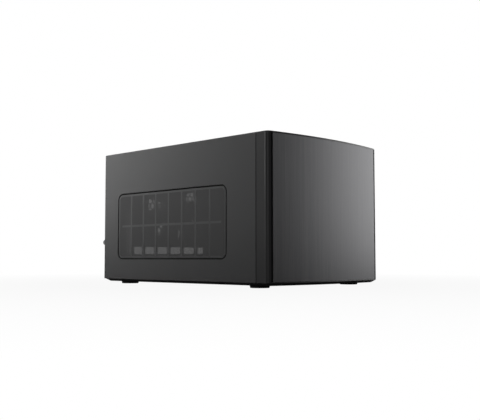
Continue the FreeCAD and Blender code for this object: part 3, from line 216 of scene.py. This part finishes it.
def turned_instances(tree, given, shape):
    """Puts the shape on every point, turned by the point's own turn."""
    link = tree.links.new
    turn = tree.nodes.new("GeometryNodeInputNamedAttribute")
    turn.data_type = "FLOAT_VECTOR"
    turn.inputs["Name"].default_value = "turn"
    rotation = tree.nodes.new("FunctionNodeEulerToRotation")
    spread = tree.nodes.new("GeometryNodeInstanceOnPoints")
    link(turn.outputs["Attribute"], rotation.inputs["Euler"])
    link(given.outputs["Geometry"], spread.inputs["Points"])
    link(shape, spread.inputs["Instance"])
    link(rotation.outputs["Rotation"], spread.inputs["Rotation"])
    return spread.outputs["Instances"]


def make_rivet_tree(material):
    tree, keys, given, result = tree_with("dome_rivets", ("Radius", "Rise"))
    link = tree.links.new
    dome = tree.nodes.new("GeometryNodeMeshUVSphere")
    dome.inputs["Segments"].default_value = RIVET_SEGMENTS
    dome.inputs["Rings"].default_value = RIVET_RINGS
    flatten = tree.nodes.new("ShaderNodeCombineXYZ")
    squash = tree.nodes.new("GeometryNodeTransform")
    link(given.outputs["Radius"], flatten.inputs["X"])
    link(given.outputs["Radius"], flatten.inputs["Y"])
    link(given.outputs["Rise"], flatten.inputs["Z"])
    link(dome.outputs["Mesh"], squash.inputs["Geometry"])
    link(flatten.outputs["Vector"], squash.inputs["Scale"])
    end_tree(tree, turned_instances(tree, given, squash.outputs["Geometry"]), material, result)
    return tree, keys


def rivet_places():
    """Each rivet's seat and turn: on the outer face of the rails, then on the bracket's foot."""
    low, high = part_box("drive_crossbar")
    places = []
    for rail, turn, edge in (("upper_rail_left", LEFT, 0), ("upper_rail_right", RIGHT, 1)):
        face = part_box(rail)[edge][0]
        for share in CROSSBAR_SHARES:
            y = low[1] + share * (high[1] - low[1])
            places.append(((face, y, high[2] - CROSSBAR_DROP), turn))
    low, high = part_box("psu_bracket")
    outer, inner = BRACKET_ENDS
    for y in (low[1] + outer, low[1] + inner, high[1] - inner, high[1] - outer):
        places.append(((low[0] + BRACKET_INSET, y, low[2] + BRACKET_SHEET), UP))
    return places


rivet_tree, rivet_keys = make_rivet_tree(frame_coat)
grown("frame_rivets", rivet_places(), rivet_tree, rivet_keys,
      {"Radius": RIVET_RADIUS, "Rise": RIVET_RISE}, "chassis")

# Feet and pads: black rubber, moulded round and screwed to the tray from below. The power supply
# rests on two strips of the same rubber, and each drive screw has its own grommet.
RUBBER_BLACK = (0.014, 0.014, 0.014)
rubber = grained("black_rubber", RUBBER_BLACK, sheen=0.75, grain=1100.0, depth=0.00005,
                 specular=0.35)
dress(rubber, "foot_front_left", "foot_rear_left", "foot_front_right", "foot_rear_right",
      "psu_pads", "drive_grommets_1", "drive_grommets_2", "drive_grommets_3")

# Motherboard standoffs: hexagonal brass bar, turned and threaded at both ends. They are screwed
# into the bosses pressed in the tray.
BRASS_YELLOW = (0.68, 0.50, 0.22)
brass = grained("turned_brass", BRASS_YELLOW, sheen=0.30, metallic=1.0, grain=2600.0,
                depth=0.00001)
dress(brass, "motherboard_standoffs")

# Dust filters: thin frames of black plastic, moulded in one piece with their ribs. The side filter
# snaps into the window of the cover, and the flange behind its face is given painted shade, matt
# black. One slides out under the power supply on the right, and one covers the front fans.
FILTER_BLACK = (0.033, 0.033, 0.034)
FILTER_SHEEN = 0.42
FILTER_GRAIN = 1800.0
# Painted shade: matt black laid on a part where it lies in the dark.
PAINTED_SHADE_BLACK = (0.001, 0.001, 0.001)
FLANGE_FRONT = -0.1242


def mixed_colours(nodes, link, share, first, second):
    """The first colour where the share is 0, and the second where it is 1."""
    mix = nodes.new("ShaderNodeMix")
    mix.data_type = "RGBA"
    ends = [socket for socket in mix.inputs if socket.type == "RGBA"]
    ends[0].default_value = (*first, 1)
    ends[1].default_value = (*second, 1)
    link(share, mix.inputs[0])
    return [socket for socket in mix.outputs if socket.type == "RGBA"][0]


def paint_shade_beyond(material, colour, axis, edge):
    """The colour before the edge along the axis, and painted shade in matt black beyond it."""
    nodes = material.node_tree.nodes
    link = material.node_tree.links.new
    shader = nodes["Principled BSDF"]
    place = nodes.new("ShaderNodeTexCoord")
    apart = nodes.new("ShaderNodeSeparateXYZ")
    beyond = math_node(nodes, "GREATER_THAN", None, edge)
    rougher = math_node(nodes, "MAXIMUM")
    link(place.outputs["Object"], apart.inputs[0])
    link(apart.outputs[axis], beyond.inputs[0])
    link(shader.inputs["Roughness"].links[0].from_socket, rougher.inputs[0])
    link(beyond.outputs[0], rougher.inputs[1])
    link(rougher.outputs[0], shader.inputs["Roughness"])
    shade = mixed_colours(nodes, link, beyond.outputs[0], colour, PAINTED_SHADE_BLACK)
    link(shade, shader.inputs["Base Color"])


filter_moulding = grained("filter_moulding", FILTER_BLACK, FILTER_SHEEN, grain=FILTER_GRAIN)
dress(filter_moulding, "front_filter_frame", "intake_filter_frame")
side_moulding_painted_shade = grained("side_filter_painted_shade_moulding", FILTER_BLACK, FILTER_SHEEN, grain=FILTER_GRAIN)
# Painted shade: the flange behind the side filter's face is painted matt black.
paint_shade_beyond(side_moulding_painted_shade, FILTER_BLACK, "X", FLANGE_FRONT)
dress(side_moulding_painted_shade, "side_filter_frame")

# Side filter's net: black nylon, woven too close to show its openings. It lies on the front of the
# frame, inside the bare rim, and the plastic of the ribs is pressed through it in flat lines.
NET_PITCH = 0.0011
NET_SHEET = 0.0001
NET_DARK = (0.011, 0.011, 0.011)
NET_LIGHT = (0.022, 0.022, 0.023)
NET_SHEEN = 0.55
NET_OPEN = 0.05
LAYER_SHIFT = 0.15
SAME_POINT = 0.000001
SIDE_FRAME_LIP = 0.0055
SIDE_GAP = 0.0022
SIDE_RIM = 0.003
SIDE_BORDER = 0.009
RIB_PITCH = 0.030
WELD_WIDTH = 0.0034
WELD_THICKNESS = 1.5 * NET_SHEET
ROW_PITCHES = 1.5
SIDEWAYS = (math.pi / 2, 0.0, -math.pi / 2)


def layer_of_strands(tree, given, across, along, pitch, quarter, shift):
    """Bars side by side over one side of the net, shortened where its corners are rounded."""
    link = tree.links.new
    size = given.outputs

    def value_of(operation, *values):
        fixed = [value if isinstance(value, float) else None for value in values]
        node = math_node(tree.nodes, operation, *fixed)
        for place, value in enumerate(values):
            if fixed[place] is None:
                link(value, node.inputs[place])
        return node.outputs[0]

    count = value_of("FLOOR", value_of("DIVIDE", size[across], size[pitch]))
    gaps = value_of("SUBTRACT", count, 1.0)
    first = value_of("MULTIPLY", gaps, value_of("MULTIPLY", size[pitch], -0.5))
    start = tree.nodes.new("ShaderNodeCombineXYZ")
    step = tree.nodes.new("ShaderNodeCombineXYZ")
    row = tree.nodes.new("GeometryNodeMeshLine")
    link(first, start.inputs["X"])
    link(size[pitch], step.inputs["X"])
    link(count, row.inputs["Count"])
    link(start.outputs[0], row.inputs["Start Location"])
    link(step.outputs[0], row.inputs["Offset"])
    bar = tree.nodes.new("GeometryNodeMeshCube")
    form = tree.nodes.new("ShaderNodeCombineXYZ")
    link(size["Strand"], form.inputs["X"])
    link(size[along], form.inputs["Y"])
    link(size["Sheet"], form.inputs["Z"])
    link(form.outputs[0], bar.inputs["Size"])
    place = tree.nodes.new("GeometryNodeInputPosition")
    apart = tree.nodes.new("ShaderNodeSeparateXYZ")
    link(place.outputs[0], apart.inputs[0])
    half = value_of("MULTIPLY", size[across], 0.5)
    edge = value_of("SUBTRACT", half, value_of("ABSOLUTE", apart.outputs["X"]))
    inside = value_of("MAXIMUM", value_of("SUBTRACT", size["Corner"], edge), 0.0)
    squares = [value_of("POWER", side, 2.0) for side in (size["Corner"], inside)]
    reach = value_of("SQRT", value_of("SUBTRACT", *squares))
    cut = value_of("SUBTRACT", size["Corner"], reach)
    lost = value_of("DIVIDE", value_of("MULTIPLY", cut, 2.0), size[along])
    share = tree.nodes.new("ShaderNodeCombineXYZ")
    share.inputs["X"].default_value = 1.0
    share.inputs["Z"].default_value = 1.0
    link(value_of("SUBTRACT", 1.0, lost), share.inputs["Y"])
    bars = tree.nodes.new("GeometryNodeInstanceOnPoints")
    link(row.outputs["Mesh"], bars.inputs["Points"])
    link(bar.outputs["Mesh"], bars.inputs["Instance"])
    link(share.outputs[0], bars.inputs["Scale"])
    turned = tree.nodes.new("GeometryNodeTransform")
    turned.inputs["Rotation"].default_value = (0.0, 0.0, quarter)
    lift = tree.nodes.new("ShaderNodeCombineXYZ")
    link(value_of("MULTIPLY", size["Sheet"], shift), lift.inputs["Z"])
    link(lift.outputs[0], turned.inputs["Translation"])
    link(bars.outputs["Instances"], turned.inputs["Geometry"])
    return turned.outputs["Geometry"]


def make_net_tree(name, material):
    """A net that lies across its point, with its front towards the point's turned Z."""
    tree, keys, given, result = tree_with(
        name, ("Width", "Height", "Corner", "Column Pitch", "Row Pitch", "Strand", "Sheet"))
    both = tree.nodes.new("GeometryNodeJoinGeometry")
    columns = layer_of_strands(
        tree, given, "Width", "Height", "Column Pitch", quarter=0.0, shift=LAYER_SHIFT)
    rows = layer_of_strands(
        tree, given, "Height", "Width", "Row Pitch", quarter=math.pi / 2, shift=-LAYER_SHIFT)
    tree.links.new(columns, both.inputs["Geometry"])
    tree.links.new(rows, both.inputs["Geometry"])
    end_tree(tree, turned_instances(tree, given, both.outputs["Geometry"]), material, result)
    return tree, keys


def make_close_net():
    """A weave of two tones, and an even share of the light that passes the sheet."""
    material, shader = plain_finish("close_net", NET_LIGHT)
    shader.inputs["Roughness"].default_value = NET_SHEEN
    nodes = material.node_tree.nodes
    link = material.node_tree.links.new
    place = nodes.new("ShaderNodeTexCoord")
    apart = nodes.new("ShaderNodeSeparateXYZ")
    both = math_node(nodes, "ADD")
    link(place.outputs["Object"], apart.inputs[0])
    for number, axis in enumerate(("Y", "Z")):
        turn = math_node(nodes, "MULTIPLY", None, 2 * math.pi / NET_PITCH)
        wave = math_node(nodes, "SINE")
        link(apart.outputs[axis], turn.inputs[0])
        link(turn.outputs[0], wave.inputs[0])
        link(wave.outputs[0], both.inputs[number])
    # The two waves add up to -2 at the least and 2 at the most, which is brought to 0 and 1.
    share = math_node(nodes, "MULTIPLY_ADD", None, 0.25, 0.5)
    link(both.outputs[0], share.inputs[0])
    weave = mixed_colours(nodes, link, share.outputs[0], NET_DARK, NET_LIGHT)
    link(weave, shader.inputs["Base Color"])
    # Only the face turned to the eye holds light back. The sheet's other face lets all of it pass.
    facing = nodes.new("ShaderNodeNewGeometry")
    held_back = math_node(nodes, "MULTIPLY_ADD", None, NET_OPEN - 1, 1 - NET_OPEN)
    link(facing.outputs["Backfacing"], held_back.inputs[0])
    link(held_back.outputs[0], shader.inputs["Alpha"])
    return material


low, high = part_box("side_filter_frame")
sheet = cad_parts["side_filter_mesh"]
sheet_shape = bmesh.new()
sheet_shape.from_mesh(sheet.data)
sheet_shape.transform(sheet.matrix_world)
bmesh.ops.remove_doubles(sheet_shape, verts=sheet_shape.verts, dist=SAME_POINT)
depths = [vertex.co.x for vertex in sheet_shape.verts]
sheet_middle = (min(depths) + max(depths)) / 2
for vertex in sheet_shape.verts:
    vertex.co.x = low[0] - (NET_SHEET if vertex.co.x < sheet_middle else 0.0)
net_mesh = bpy.data.meshes.new("side_filter_net")
sheet_shape.to_mesh(net_mesh)
sheet_shape.free()
net_mesh.materials.clear()
net_mesh.materials.append(make_close_net())
side_net = bpy.data.objects.new("side_filter_net", net_mesh)
scene.collection.objects.link(side_net)
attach(side_net, "cover")
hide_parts("side_filter_mesh")

inset = SIDE_FRAME_LIP + SIDE_GAP + SIDE_RIM
window_height = high[2] - low[2] - 2 * inset
ribs_width = high[1] - low[1] - 2 * inset + 2 * SIDE_RIM - 2 * SIDE_BORDER
middle = (low[0] - NET_SHEET / 2, (low[1] + high[1]) / 2, (low[2] + high[2]) / 2)
weld_tree, weld_keys = make_net_tree("rib_welds", filter_moulding)
# The height holds one and a half pitches of rows, so a single row is laid across its middle.
grown("side_filter_welds", [(middle, SIDEWAYS)], weld_tree, weld_keys,
      {"Width": ribs_width, "Height": window_height, "Corner": 0.0, "Column Pitch": RIB_PITCH,
       "Row Pitch": window_height / ROW_PITCHES, "Strand": WELD_WIDTH, "Sheet": WELD_THICKNESS},
      "cover")

# Nets of the front and the intake filter: fine strands of black nylon, welded where they cross and
# along the rim of the frame. Each takes the place of its flat sheet.
NET_STRAND = 0.00079
FRONT_NET_CORNER = 0.004
TO_FRONT = (math.pi / 2, 0.0, 0.0)
TO_BELOW = (math.pi, 0.0, 0.0)
net_nylon = grained("net_nylon", NET_LIGHT, NET_SHEEN, grain=2400.0, depth=0.00001)
net_tree, net_keys = make_net_tree("fine_net", net_nylon)


def middle_of(low, high):
    return tuple((low[axis] + high[axis]) / 2 for axis in range(3))


def net(name, centre, turn, width, height, corner, body, node):
    piece = grown(name, [(centre, turn)], net_tree, net_keys,
                  {"Width": width, "Height": height, "Corner": corner,
                   "Column Pitch": NET_PITCH, "Row Pitch": NET_PITCH,
                   "Strand": NET_STRAND, "Sheet": NET_SHEET}, body)
    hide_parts(node)


low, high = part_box("front_filter_mesh")
net("front_filter_net", middle_of(low, high), TO_FRONT, high[0] - low[0], high[2] - low[2],
    FRONT_NET_CORNER, "chassis", "front_filter_mesh")
low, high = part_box("intake_filter_mesh")
net("intake_filter_net", middle_of(low, high), TO_BELOW, high[0] - low[0], high[1] - low[1],
    0.0, "intake_filter", "intake_filter_mesh")

# Fans: frames of black glass-filled plastic with a fine moulded skin, and glossy white rotors,
# whose twisted blades show behind the grille and the filters.
FAN_BLACK = (0.020, 0.020, 0.021)
FAN_WHITE = (0.76, 0.76, 0.74)
fan_black = grained("fan_frame_moulding", FAN_BLACK, sheen=0.50, grain=1600.0)
dress(fan_black, "front_fan_frame_left", "front_fan_frame_right", "rear_fan_frame")
fan_white = grained("fan_rotor_moulding", FAN_WHITE, sheen=0.28, grain=600.0, depth=0.00001)
dress(fan_white, "front_fan_rotor_left", "front_fan_rotor_right", "rear_fan_rotor")

# Drive brackets: folded sheet steel, powder coated white. They are hooked into the front frame and
# held on the crossbar by one thumbscrew each.
BRACKET_WHITE = (0.74, 0.74, 0.73)
bracket_coat = grained("white_powder_coat", BRACKET_WHITE, sheen=0.42)
dress(bracket_coat, "drive_bracket_1", "drive_bracket_2", "drive_bracket_3")

# Screws: turned steel, blackened. The thumbscrews have a straight knurl round the head, rolled in
# ridges, and a cross slot in the end.
SCREW_BLACK = (0.10, 0.10, 0.104)
KNURL_COUNT = 26
KNURL_RISE = 0.00028
KNURL_WIDTH = 0.00062
KNURL_SHARE = 0.9
HEAD_RADIUS = 0.0046
HEAD_SHARE = 0.75
HEAD_NECK = 1 - HEAD_SHARE
COVER_HEAD = 0.007
SLOT_HEAD = 0.005
BRACKET_HEAD = 0.003
REARWARD = (-math.pi / 2, 0.0, 0.0)
screw_black = grained("black_zinc", SCREW_BLACK, sheen=0.30, metallic=0.8, grain=2500.0,
                      depth=0.00002)
dress(screw_black, "cover_thumbscrews", "slot_thumbscrews", "bracket_thumbscrews", "foot_screws",
      "fan_screws", "mains_inlet_screws")


def make_knurl_tree(material):
    """A ring of ridges round each screw's head. The point is the middle of the head's length."""
    tree, keys, given, result = tree_with("knurled_heads", ("Radius", "Ridge", "Length", "Rise"))
    link = tree.links.new
    ring = tree.nodes.new("GeometryNodeMeshCircle")
    ring.inputs["Vertices"].default_value = KNURL_COUNT
    ridge = tree.nodes.new("GeometryNodeMeshCube")
    size = tree.nodes.new("ShaderNodeCombineXYZ")
    link(given.outputs["Ridge"], size.inputs["X"])
    link(given.outputs["Ridge"], size.inputs["Y"])
    link(given.outputs["Length"], size.inputs["Z"])
    link(size.outputs["Vector"], ridge.inputs["Size"])
    corner = tree.nodes.new("GeometryNodeTransform")
    corner.inputs["Rotation"].default_value = (0.0, 0.0, math.pi / 4)
    link(ridge.outputs["Mesh"], corner.inputs["Geometry"])
    reach = math_node(tree.nodes, "MULTIPLY_ADD", None, -math.sqrt(0.5))
    link(given.outputs["Ridge"], reach.inputs[0])
    outer = math_node(tree.nodes, "ADD")
    link(given.outputs["Radius"], outer.inputs[0])
    link(given.outputs["Rise"], outer.inputs[1])
    link(outer.outputs[0], reach.inputs[2])
    link(reach.outputs[0], ring.inputs["Radius"])
    place = tree.nodes.new("GeometryNodeInputPosition")
    aim = tree.nodes.new("FunctionNodeAlignRotationToVector")
    aim.axis = "X"
    link(place.outputs["Position"], aim.inputs["Vector"])
    ridges = tree.nodes.new("GeometryNodeInstanceOnPoints")
    link(ring.outputs["Mesh"], ridges.inputs["Points"])
    link(corner.outputs["Geometry"], ridges.inputs["Instance"])
    link(aim.outputs["Rotation"], ridges.inputs["Rotation"])
    end_tree(tree, turned_instances(tree, given, ridges.outputs["Instances"]), material, result)
    return tree, keys


knurl_tree, knurl_keys = make_knurl_tree(screw_black)


def knurl(name, places, head_length, body):
    length = head_length * HEAD_SHARE * KNURL_SHARE
    grown(name, places, knurl_tree, knurl_keys,
          {"Radius": HEAD_RADIUS, "Ridge": KNURL_WIDTH, "Length": length, "Rise": KNURL_RISE},
          body)


def head_middle(head_length):
    """Seat to the middle of the knurled part of the head."""
    return head_length * (HEAD_NECK + HEAD_SHARE / 2)


low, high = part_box("cover_thumbscrews")
seat = high[1] - COVER_HEAD
side = high[0] - HEAD_RADIUS
below = low[2] + HEAD_RADIUS
above = high[2] - HEAD_RADIUS
knurl("cover_screw_knurls",
      [((x, seat + head_middle(COVER_HEAD), z), REARWARD)
       for x, z in ((-side, below), (side, below), (0.0, above))], COVER_HEAD, "cover")
low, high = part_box("slot_thumbscrews")
seat = high[2] - SLOT_HEAD
knurl("slot_screw_knurls",
      [((x, (low[1] + high[1]) / 2, seat + head_middle(SLOT_HEAD)), UP)
       for x in (low[0] + HEAD_RADIUS, high[0] - HEAD_RADIUS)], SLOT_HEAD, "chassis")
low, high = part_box("bracket_thumbscrews")
seat = high[2] - BRACKET_HEAD
knurl("bracket_screw_knurls",
      [((x, (low[1] + high[1]) / 2, seat + head_middle(BRACKET_HEAD)), UP)
       for x in (low[0] + HEAD_RADIUS, (low[0] + high[0]) / 2, high[0] - HEAD_RADIUS)],
      BRACKET_HEAD, "chassis")

# Ports: nickel-plated shells with blue tongues and black jacks, soldered to a green circuit board
# that is held on two posts inside the bezel. The mains inlet and the fan switch are black mouldings
# behind and on the rear panel.
NICKEL_GREY = (0.62, 0.61, 0.58)
TONGUE_BLUE = (0.02, 0.07, 0.38)
PORT_BLACK = (0.018, 0.018, 0.018)
BOARD_GREEN = (0.010, 0.075, 0.030)
PIPE_WHITE = (0.80, 0.83, 0.86)
nickel = grained("port_nickel", NICKEL_GREY, sheen=0.28, metallic=1.0, grain=900.0, depth=0.00001)
dress(nickel, "usb_port_1", "usb_port_2", "mains_inlet_blades")
tongue_blue = grained("port_tongue", TONGUE_BLUE, sheen=0.40, grain=1800.0)
dress(tongue_blue, "usb_tongue_1", "usb_tongue_2")
port_black = grained("port_moulding", PORT_BLACK, sheen=0.42, grain=1800.0)
dress(port_black, "microphone_jack", "headphone_jack", "power_switch", "mains_inlet",
      "fan_switch_housing", "fan_switch_slider")
board_green = grained("solder_mask", BOARD_GREEN, sheen=0.35, grain=700.0)
dress(board_green, "port_circuit_board")
pipe_clear = grained("light_pipe", PIPE_WHITE, sheen=0.20, grain=500.0, depth=0.00001)
dress(pipe_clear, "light_pipe")

# Front bezel and power button: black plastic, moulded with a fine eroded texture. The bezel snaps
# on to the front frame, and its bowed front carries the plate in a shallow bed. A narrow band at
# the seam with the cover is painted matt black as painted shade.
BEZEL_BLACK = (0.019, 0.019, 0.020)
SEAM_SHADE = -0.1606
bezel_moulding_and_painted_seam_shade = grained("bezel_moulding_and_painted_seam_shade", BEZEL_BLACK, sheen=0.35, grain=2200.0, depth=0.00002)
# Painted shade: the bezel is painted matt black in a narrow band at the seam with the cover.
paint_shade_beyond(bezel_moulding_and_painted_seam_shade, BEZEL_BLACK, "Y", SEAM_SHADE)
dress(bezel_moulding_and_painted_seam_shade, "front_bezel", "power_button")

# Front plate: 2 mm aluminium, rolled to the bow, brushed upright, anodised black and glued down.
# Long fine lines run from top to bottom and catch the light a little differently.
PLATE_DARK = (0.092, 0.092, 0.095)
PLATE_LIGHT = (0.140, 0.140, 0.144)
PLATE_STRETCH = 0.55
BRUSH_SQUEEZE = (1.0, 0.2, 0.012)
BRUSH_HARSHNESS = 0.7
LINE_DETAIL = 4.0
BAND_DETAIL = 2.0


def make_brushing():
    group, given, result = new_group(
        "upright_brushing",
        (("Lines", 1400.0), ("Bands", 160.0), ("Contrast", 2.0), ("Depth", 0.00001),
         ("Sheen", 0.32), ("Spread", 0.12)),
        (("Tone", "NodeSocketFloat"), ("Roughness", "NodeSocketFloat"),
         ("Normal", "NodeSocketVector")))
    link = group.links.new
    place = group.nodes.new("ShaderNodeTexCoord")
    squeeze = group.nodes.new("ShaderNodeMapping")
    squeeze.inputs["Scale"].default_value = BRUSH_SQUEEZE
    link(place.outputs["Object"], squeeze.inputs["Vector"])
    patterns = []
    for label, detail in (("Lines", LINE_DETAIL), ("Bands", BAND_DETAIL)):
        noise = group.nodes.new("ShaderNodeTexNoise")
        noise.inputs["Detail"].default_value = detail
        noise.inputs["Roughness"].default_value = BRUSH_HARSHNESS
        link(squeeze.outputs[0], noise.inputs["Vector"])
        link(given.outputs[label], noise.inputs["Scale"])
        patterns.append(noise.outputs[0])
    both = math_node(group.nodes, "ADD")
    centred = math_node(group.nodes, "SUBTRACT", None, 1.0)
    tone = math_node(group.nodes, "MULTIPLY_ADD", None, None, 0.5)
    tone.use_clamp = True
    link(patterns[0], both.inputs[0])
    link(patterns[1], both.inputs[1])
    link(both.outputs[0], centred.inputs[0])
    link(centred.outputs[0], tone.inputs[0])
    link(given.outputs["Contrast"], tone.inputs[1])
    bump = group.nodes.new("ShaderNodeBump")
    link(patterns[0], bump.inputs["Height"])
    link(given.outputs["Depth"], bump.inputs["Distance"])
    sheen = sheen_around(group, link, given, tone.outputs[0], "Spread", "Sheen")
    link(tone.outputs[0], result.inputs["Tone"])
    link(sheen, result.inputs["Roughness"])
    link(bump.outputs[0], result.inputs["Normal"])
    return group


plate_finish, plate_shader = plain_finish("brushed_anodised_plate", PLATE_DARK, metallic=1.0)
plate_shader.inputs["Anisotropic"].default_value = PLATE_STRETCH
brush = place_group(plate_finish, make_brushing(),
                    {"Lines": 1600.0, "Bands": 300.0, "Contrast": 1.0, "Depth": 0.000006,
                     "Sheen": 0.44, "Spread": 0.10})
nodes = plate_finish.node_tree.nodes
link = plate_finish.node_tree.links.new
plate_tone = mixed_colours(nodes, link, brush.outputs["Tone"], PLATE_DARK, PLATE_LIGHT)
link(plate_tone, plate_shader.inputs["Base Color"])
link(brush.outputs["Roughness"], plate_shader.inputs["Roughness"])
link(brush.outputs["Normal"], plate_shader.inputs["Normal"])
dress(plate_finish, "front_plate")

# Cover: one sheet of 1 mm steel, cut, folded over the case and powder coated in fine satin black.
# It slides on from the rear and is held by three thumbscrews.
COVER_BLACK = (0.030, 0.030, 0.031)
cover_coat = grained("cover_powder_coat", COVER_BLACK, sheen=0.40, cloud=0.05)
dress(cover_coat, "cover")

# Camera: in front of the left corner, a hand's width above the table, looking a little up.
# Its place, aim and lens come from the outline of the case in the photograph.
CAMERA_PLACE = (-0.8624, -0.8528, 0.0402)
CAMERA_YAW = math.radians(45.58)
CAMERA_PITCH = math.radians(3.635)
CAMERA_LENS = 57.0
CAMERA_SENSOR = 36.0
NEAREST_SEEN = 0.01
camera_data = bpy.data.cameras.new("camera")
camera_data.lens = CAMERA_LENS
camera_data.sensor_width = CAMERA_SENSOR
camera_data.clip_start = NEAREST_SEEN
camera = bpy.data.objects.new("camera", camera_data)
camera.location = CAMERA_PLACE
camera.rotation_euler = (math.pi / 2 + CAMERA_PITCH, 0, -CAMERA_YAW)
scene.collection.objects.link(camera)
scene.camera = camera


# Studio lamps: a wide soft box on the right that the bowed plate mirrors, one behind on the left
# that the cover mirrors, two narrow weak ones on the left and front left, one overhead and one
# behind on the right. Places, aims and sizes are in metres.
def soft_box(name, place, aim, size, watts):
    light = bpy.data.lights.new(name, "AREA")
    light.shape = "RECTANGLE"
    light.size, light.size_y = size
    light.energy = watts
    lamp = bpy.data.objects.new(name, light)
    lamp.location = place
    away = [place[i] - aim[i] for i in range(3)]
    flat = math.hypot(away[0], away[1])
    lamp.rotation_euler = (math.atan2(flat, away[2]), 0, math.atan2(away[0], -away[1]))
    scene.collection.objects.link(lamp)


soft_box("light_right", place=(2.2, -0.95, 0.57), aim=(0.0, -0.15, 0.1), size=(2.0, 1.3), watts=26.0)
soft_box("light_left_rear", place=(-1.0, 2.1, 0.85), aim=(-0.1, 0.05, 0.1), size=(0.9, 1.4), watts=19.5)
soft_box("light_left", place=(-2.3, 0.5, 0.65), aim=(-0.1, -0.1, 0.1), size=(0.25, 0.8), watts=6.5)
soft_box("light_front_left", place=(-1.9, -1.7, 0.35), aim=(-0.1, -0.2, 0.1), size=(0.25, 0.7), watts=2.0)
soft_box("light_top", place=(-0.4, -0.4, 2.2), aim=(0.0, 0.0, 0.0), size=(1.4, 1.4), watts=16.0)
soft_box("light_right_rear", place=(1.7, 1.9, 1.2), aim=(0.0, 0.1, 0.1), size=(1.6, 1.4), watts=27.0)

# Backdrop: an even grey for the light that it gives, and white where the camera looks at it,
# directly or through a window.
STUDIO_GREY = 0.10
WHITE = (1, 1, 1, 1)


def seen_rays(nodes, link):
    """1 for the rays that see the backdrop or the table directly or through a window."""
    path = nodes.new("ShaderNodeLightPath")
    seen = math_node(nodes, "MAXIMUM")
    link(path.outputs["Is Camera Ray"], seen.inputs[0])
    link(path.outputs["Is Transmission Ray"], seen.inputs[1])
    return seen.outputs[0]


world = bpy.data.worlds.new("studio")
world.use_nodes = True
scene.world = world
sky = world.node_tree.nodes
sky_link = world.node_tree.links.new
grey = sky["Background"]
grey.inputs["Color"].default_value = WHITE
grey.inputs["Strength"].default_value = STUDIO_GREY
white = sky.new("ShaderNodeBackground")
white.inputs["Color"].default_value = WHITE
mix = sky.new("ShaderNodeMixShader")
sky_link(seen_rays(sky, sky_link), mix.inputs["Fac"])
sky_link(grey.outputs[0], mix.inputs[1])
sky_link(white.outputs[0], mix.inputs[2])
sky_link(mix.outputs[0], sky["World Output"].inputs["Surface"])

# Table: a wide matt white sheet, a hair below the feet. It glows white for the camera, and close to
# the case it keeps a share of the case's shadow.
TABLE_REACH = 8.0
TABLE_DROP = 0.0002
TABLE_GREY = (0.14, 0.14, 0.14)
TABLE_MATT = 0.9
TABLE_SHADE = 0.07
SHADE_FROM = 0.25
SHADE_TO = 0.9
corners = [(TABLE_REACH * x, TABLE_REACH * y, -TABLE_DROP)
           for x, y in ((-1, -1), (1, -1), (1, 1), (-1, 1))]
table_mesh = bpy.data.meshes.new("table")
table_mesh.from_pydata(corners, [], [(0, 1, 2, 3)])
table = bpy.data.objects.new("table", table_mesh)
scene.collection.objects.link(table)
table_paint, table_shader = plain_finish("table_white", TABLE_GREY)
table_shader.inputs["Roughness"].default_value = TABLE_MATT
table_shader.inputs["Specular IOR Level"].default_value = 0.0
nodes = table_paint.node_tree.nodes
link = table_paint.node_tree.links.new
glow = nodes.new("ShaderNodeEmission")
glow.inputs["Color"].default_value = WHITE
place = nodes.new("ShaderNodeTexCoord")
far = nodes.new("ShaderNodeVectorMath")
far.operation = "LENGTH"
white_share = nodes.new("ShaderNodeMapRange")
white_share.inputs["From Min"].default_value = SHADE_FROM
white_share.inputs["From Max"].default_value = SHADE_TO
white_share.inputs["To Min"].default_value = 1 - TABLE_SHADE
white_share.inputs["To Max"].default_value = 1.0
share = math_node(nodes, "MULTIPLY")
blend = nodes.new("ShaderNodeMixShader")
link(place.outputs["Object"], far.inputs[0])
link(far.outputs["Value"], white_share.inputs["Value"])
link(seen_rays(nodes, link), share.inputs[0])
link(white_share.outputs["Result"], share.inputs[1])
link(share.outputs[0], blend.inputs["Fac"])
link(table_shader.outputs[0], blend.inputs[1])
link(glow.outputs[0], blend.inputs[2])
link(blend.outputs[0], nodes["Material Output"].inputs["Surface"])
table_mesh.materials.append(table_paint)
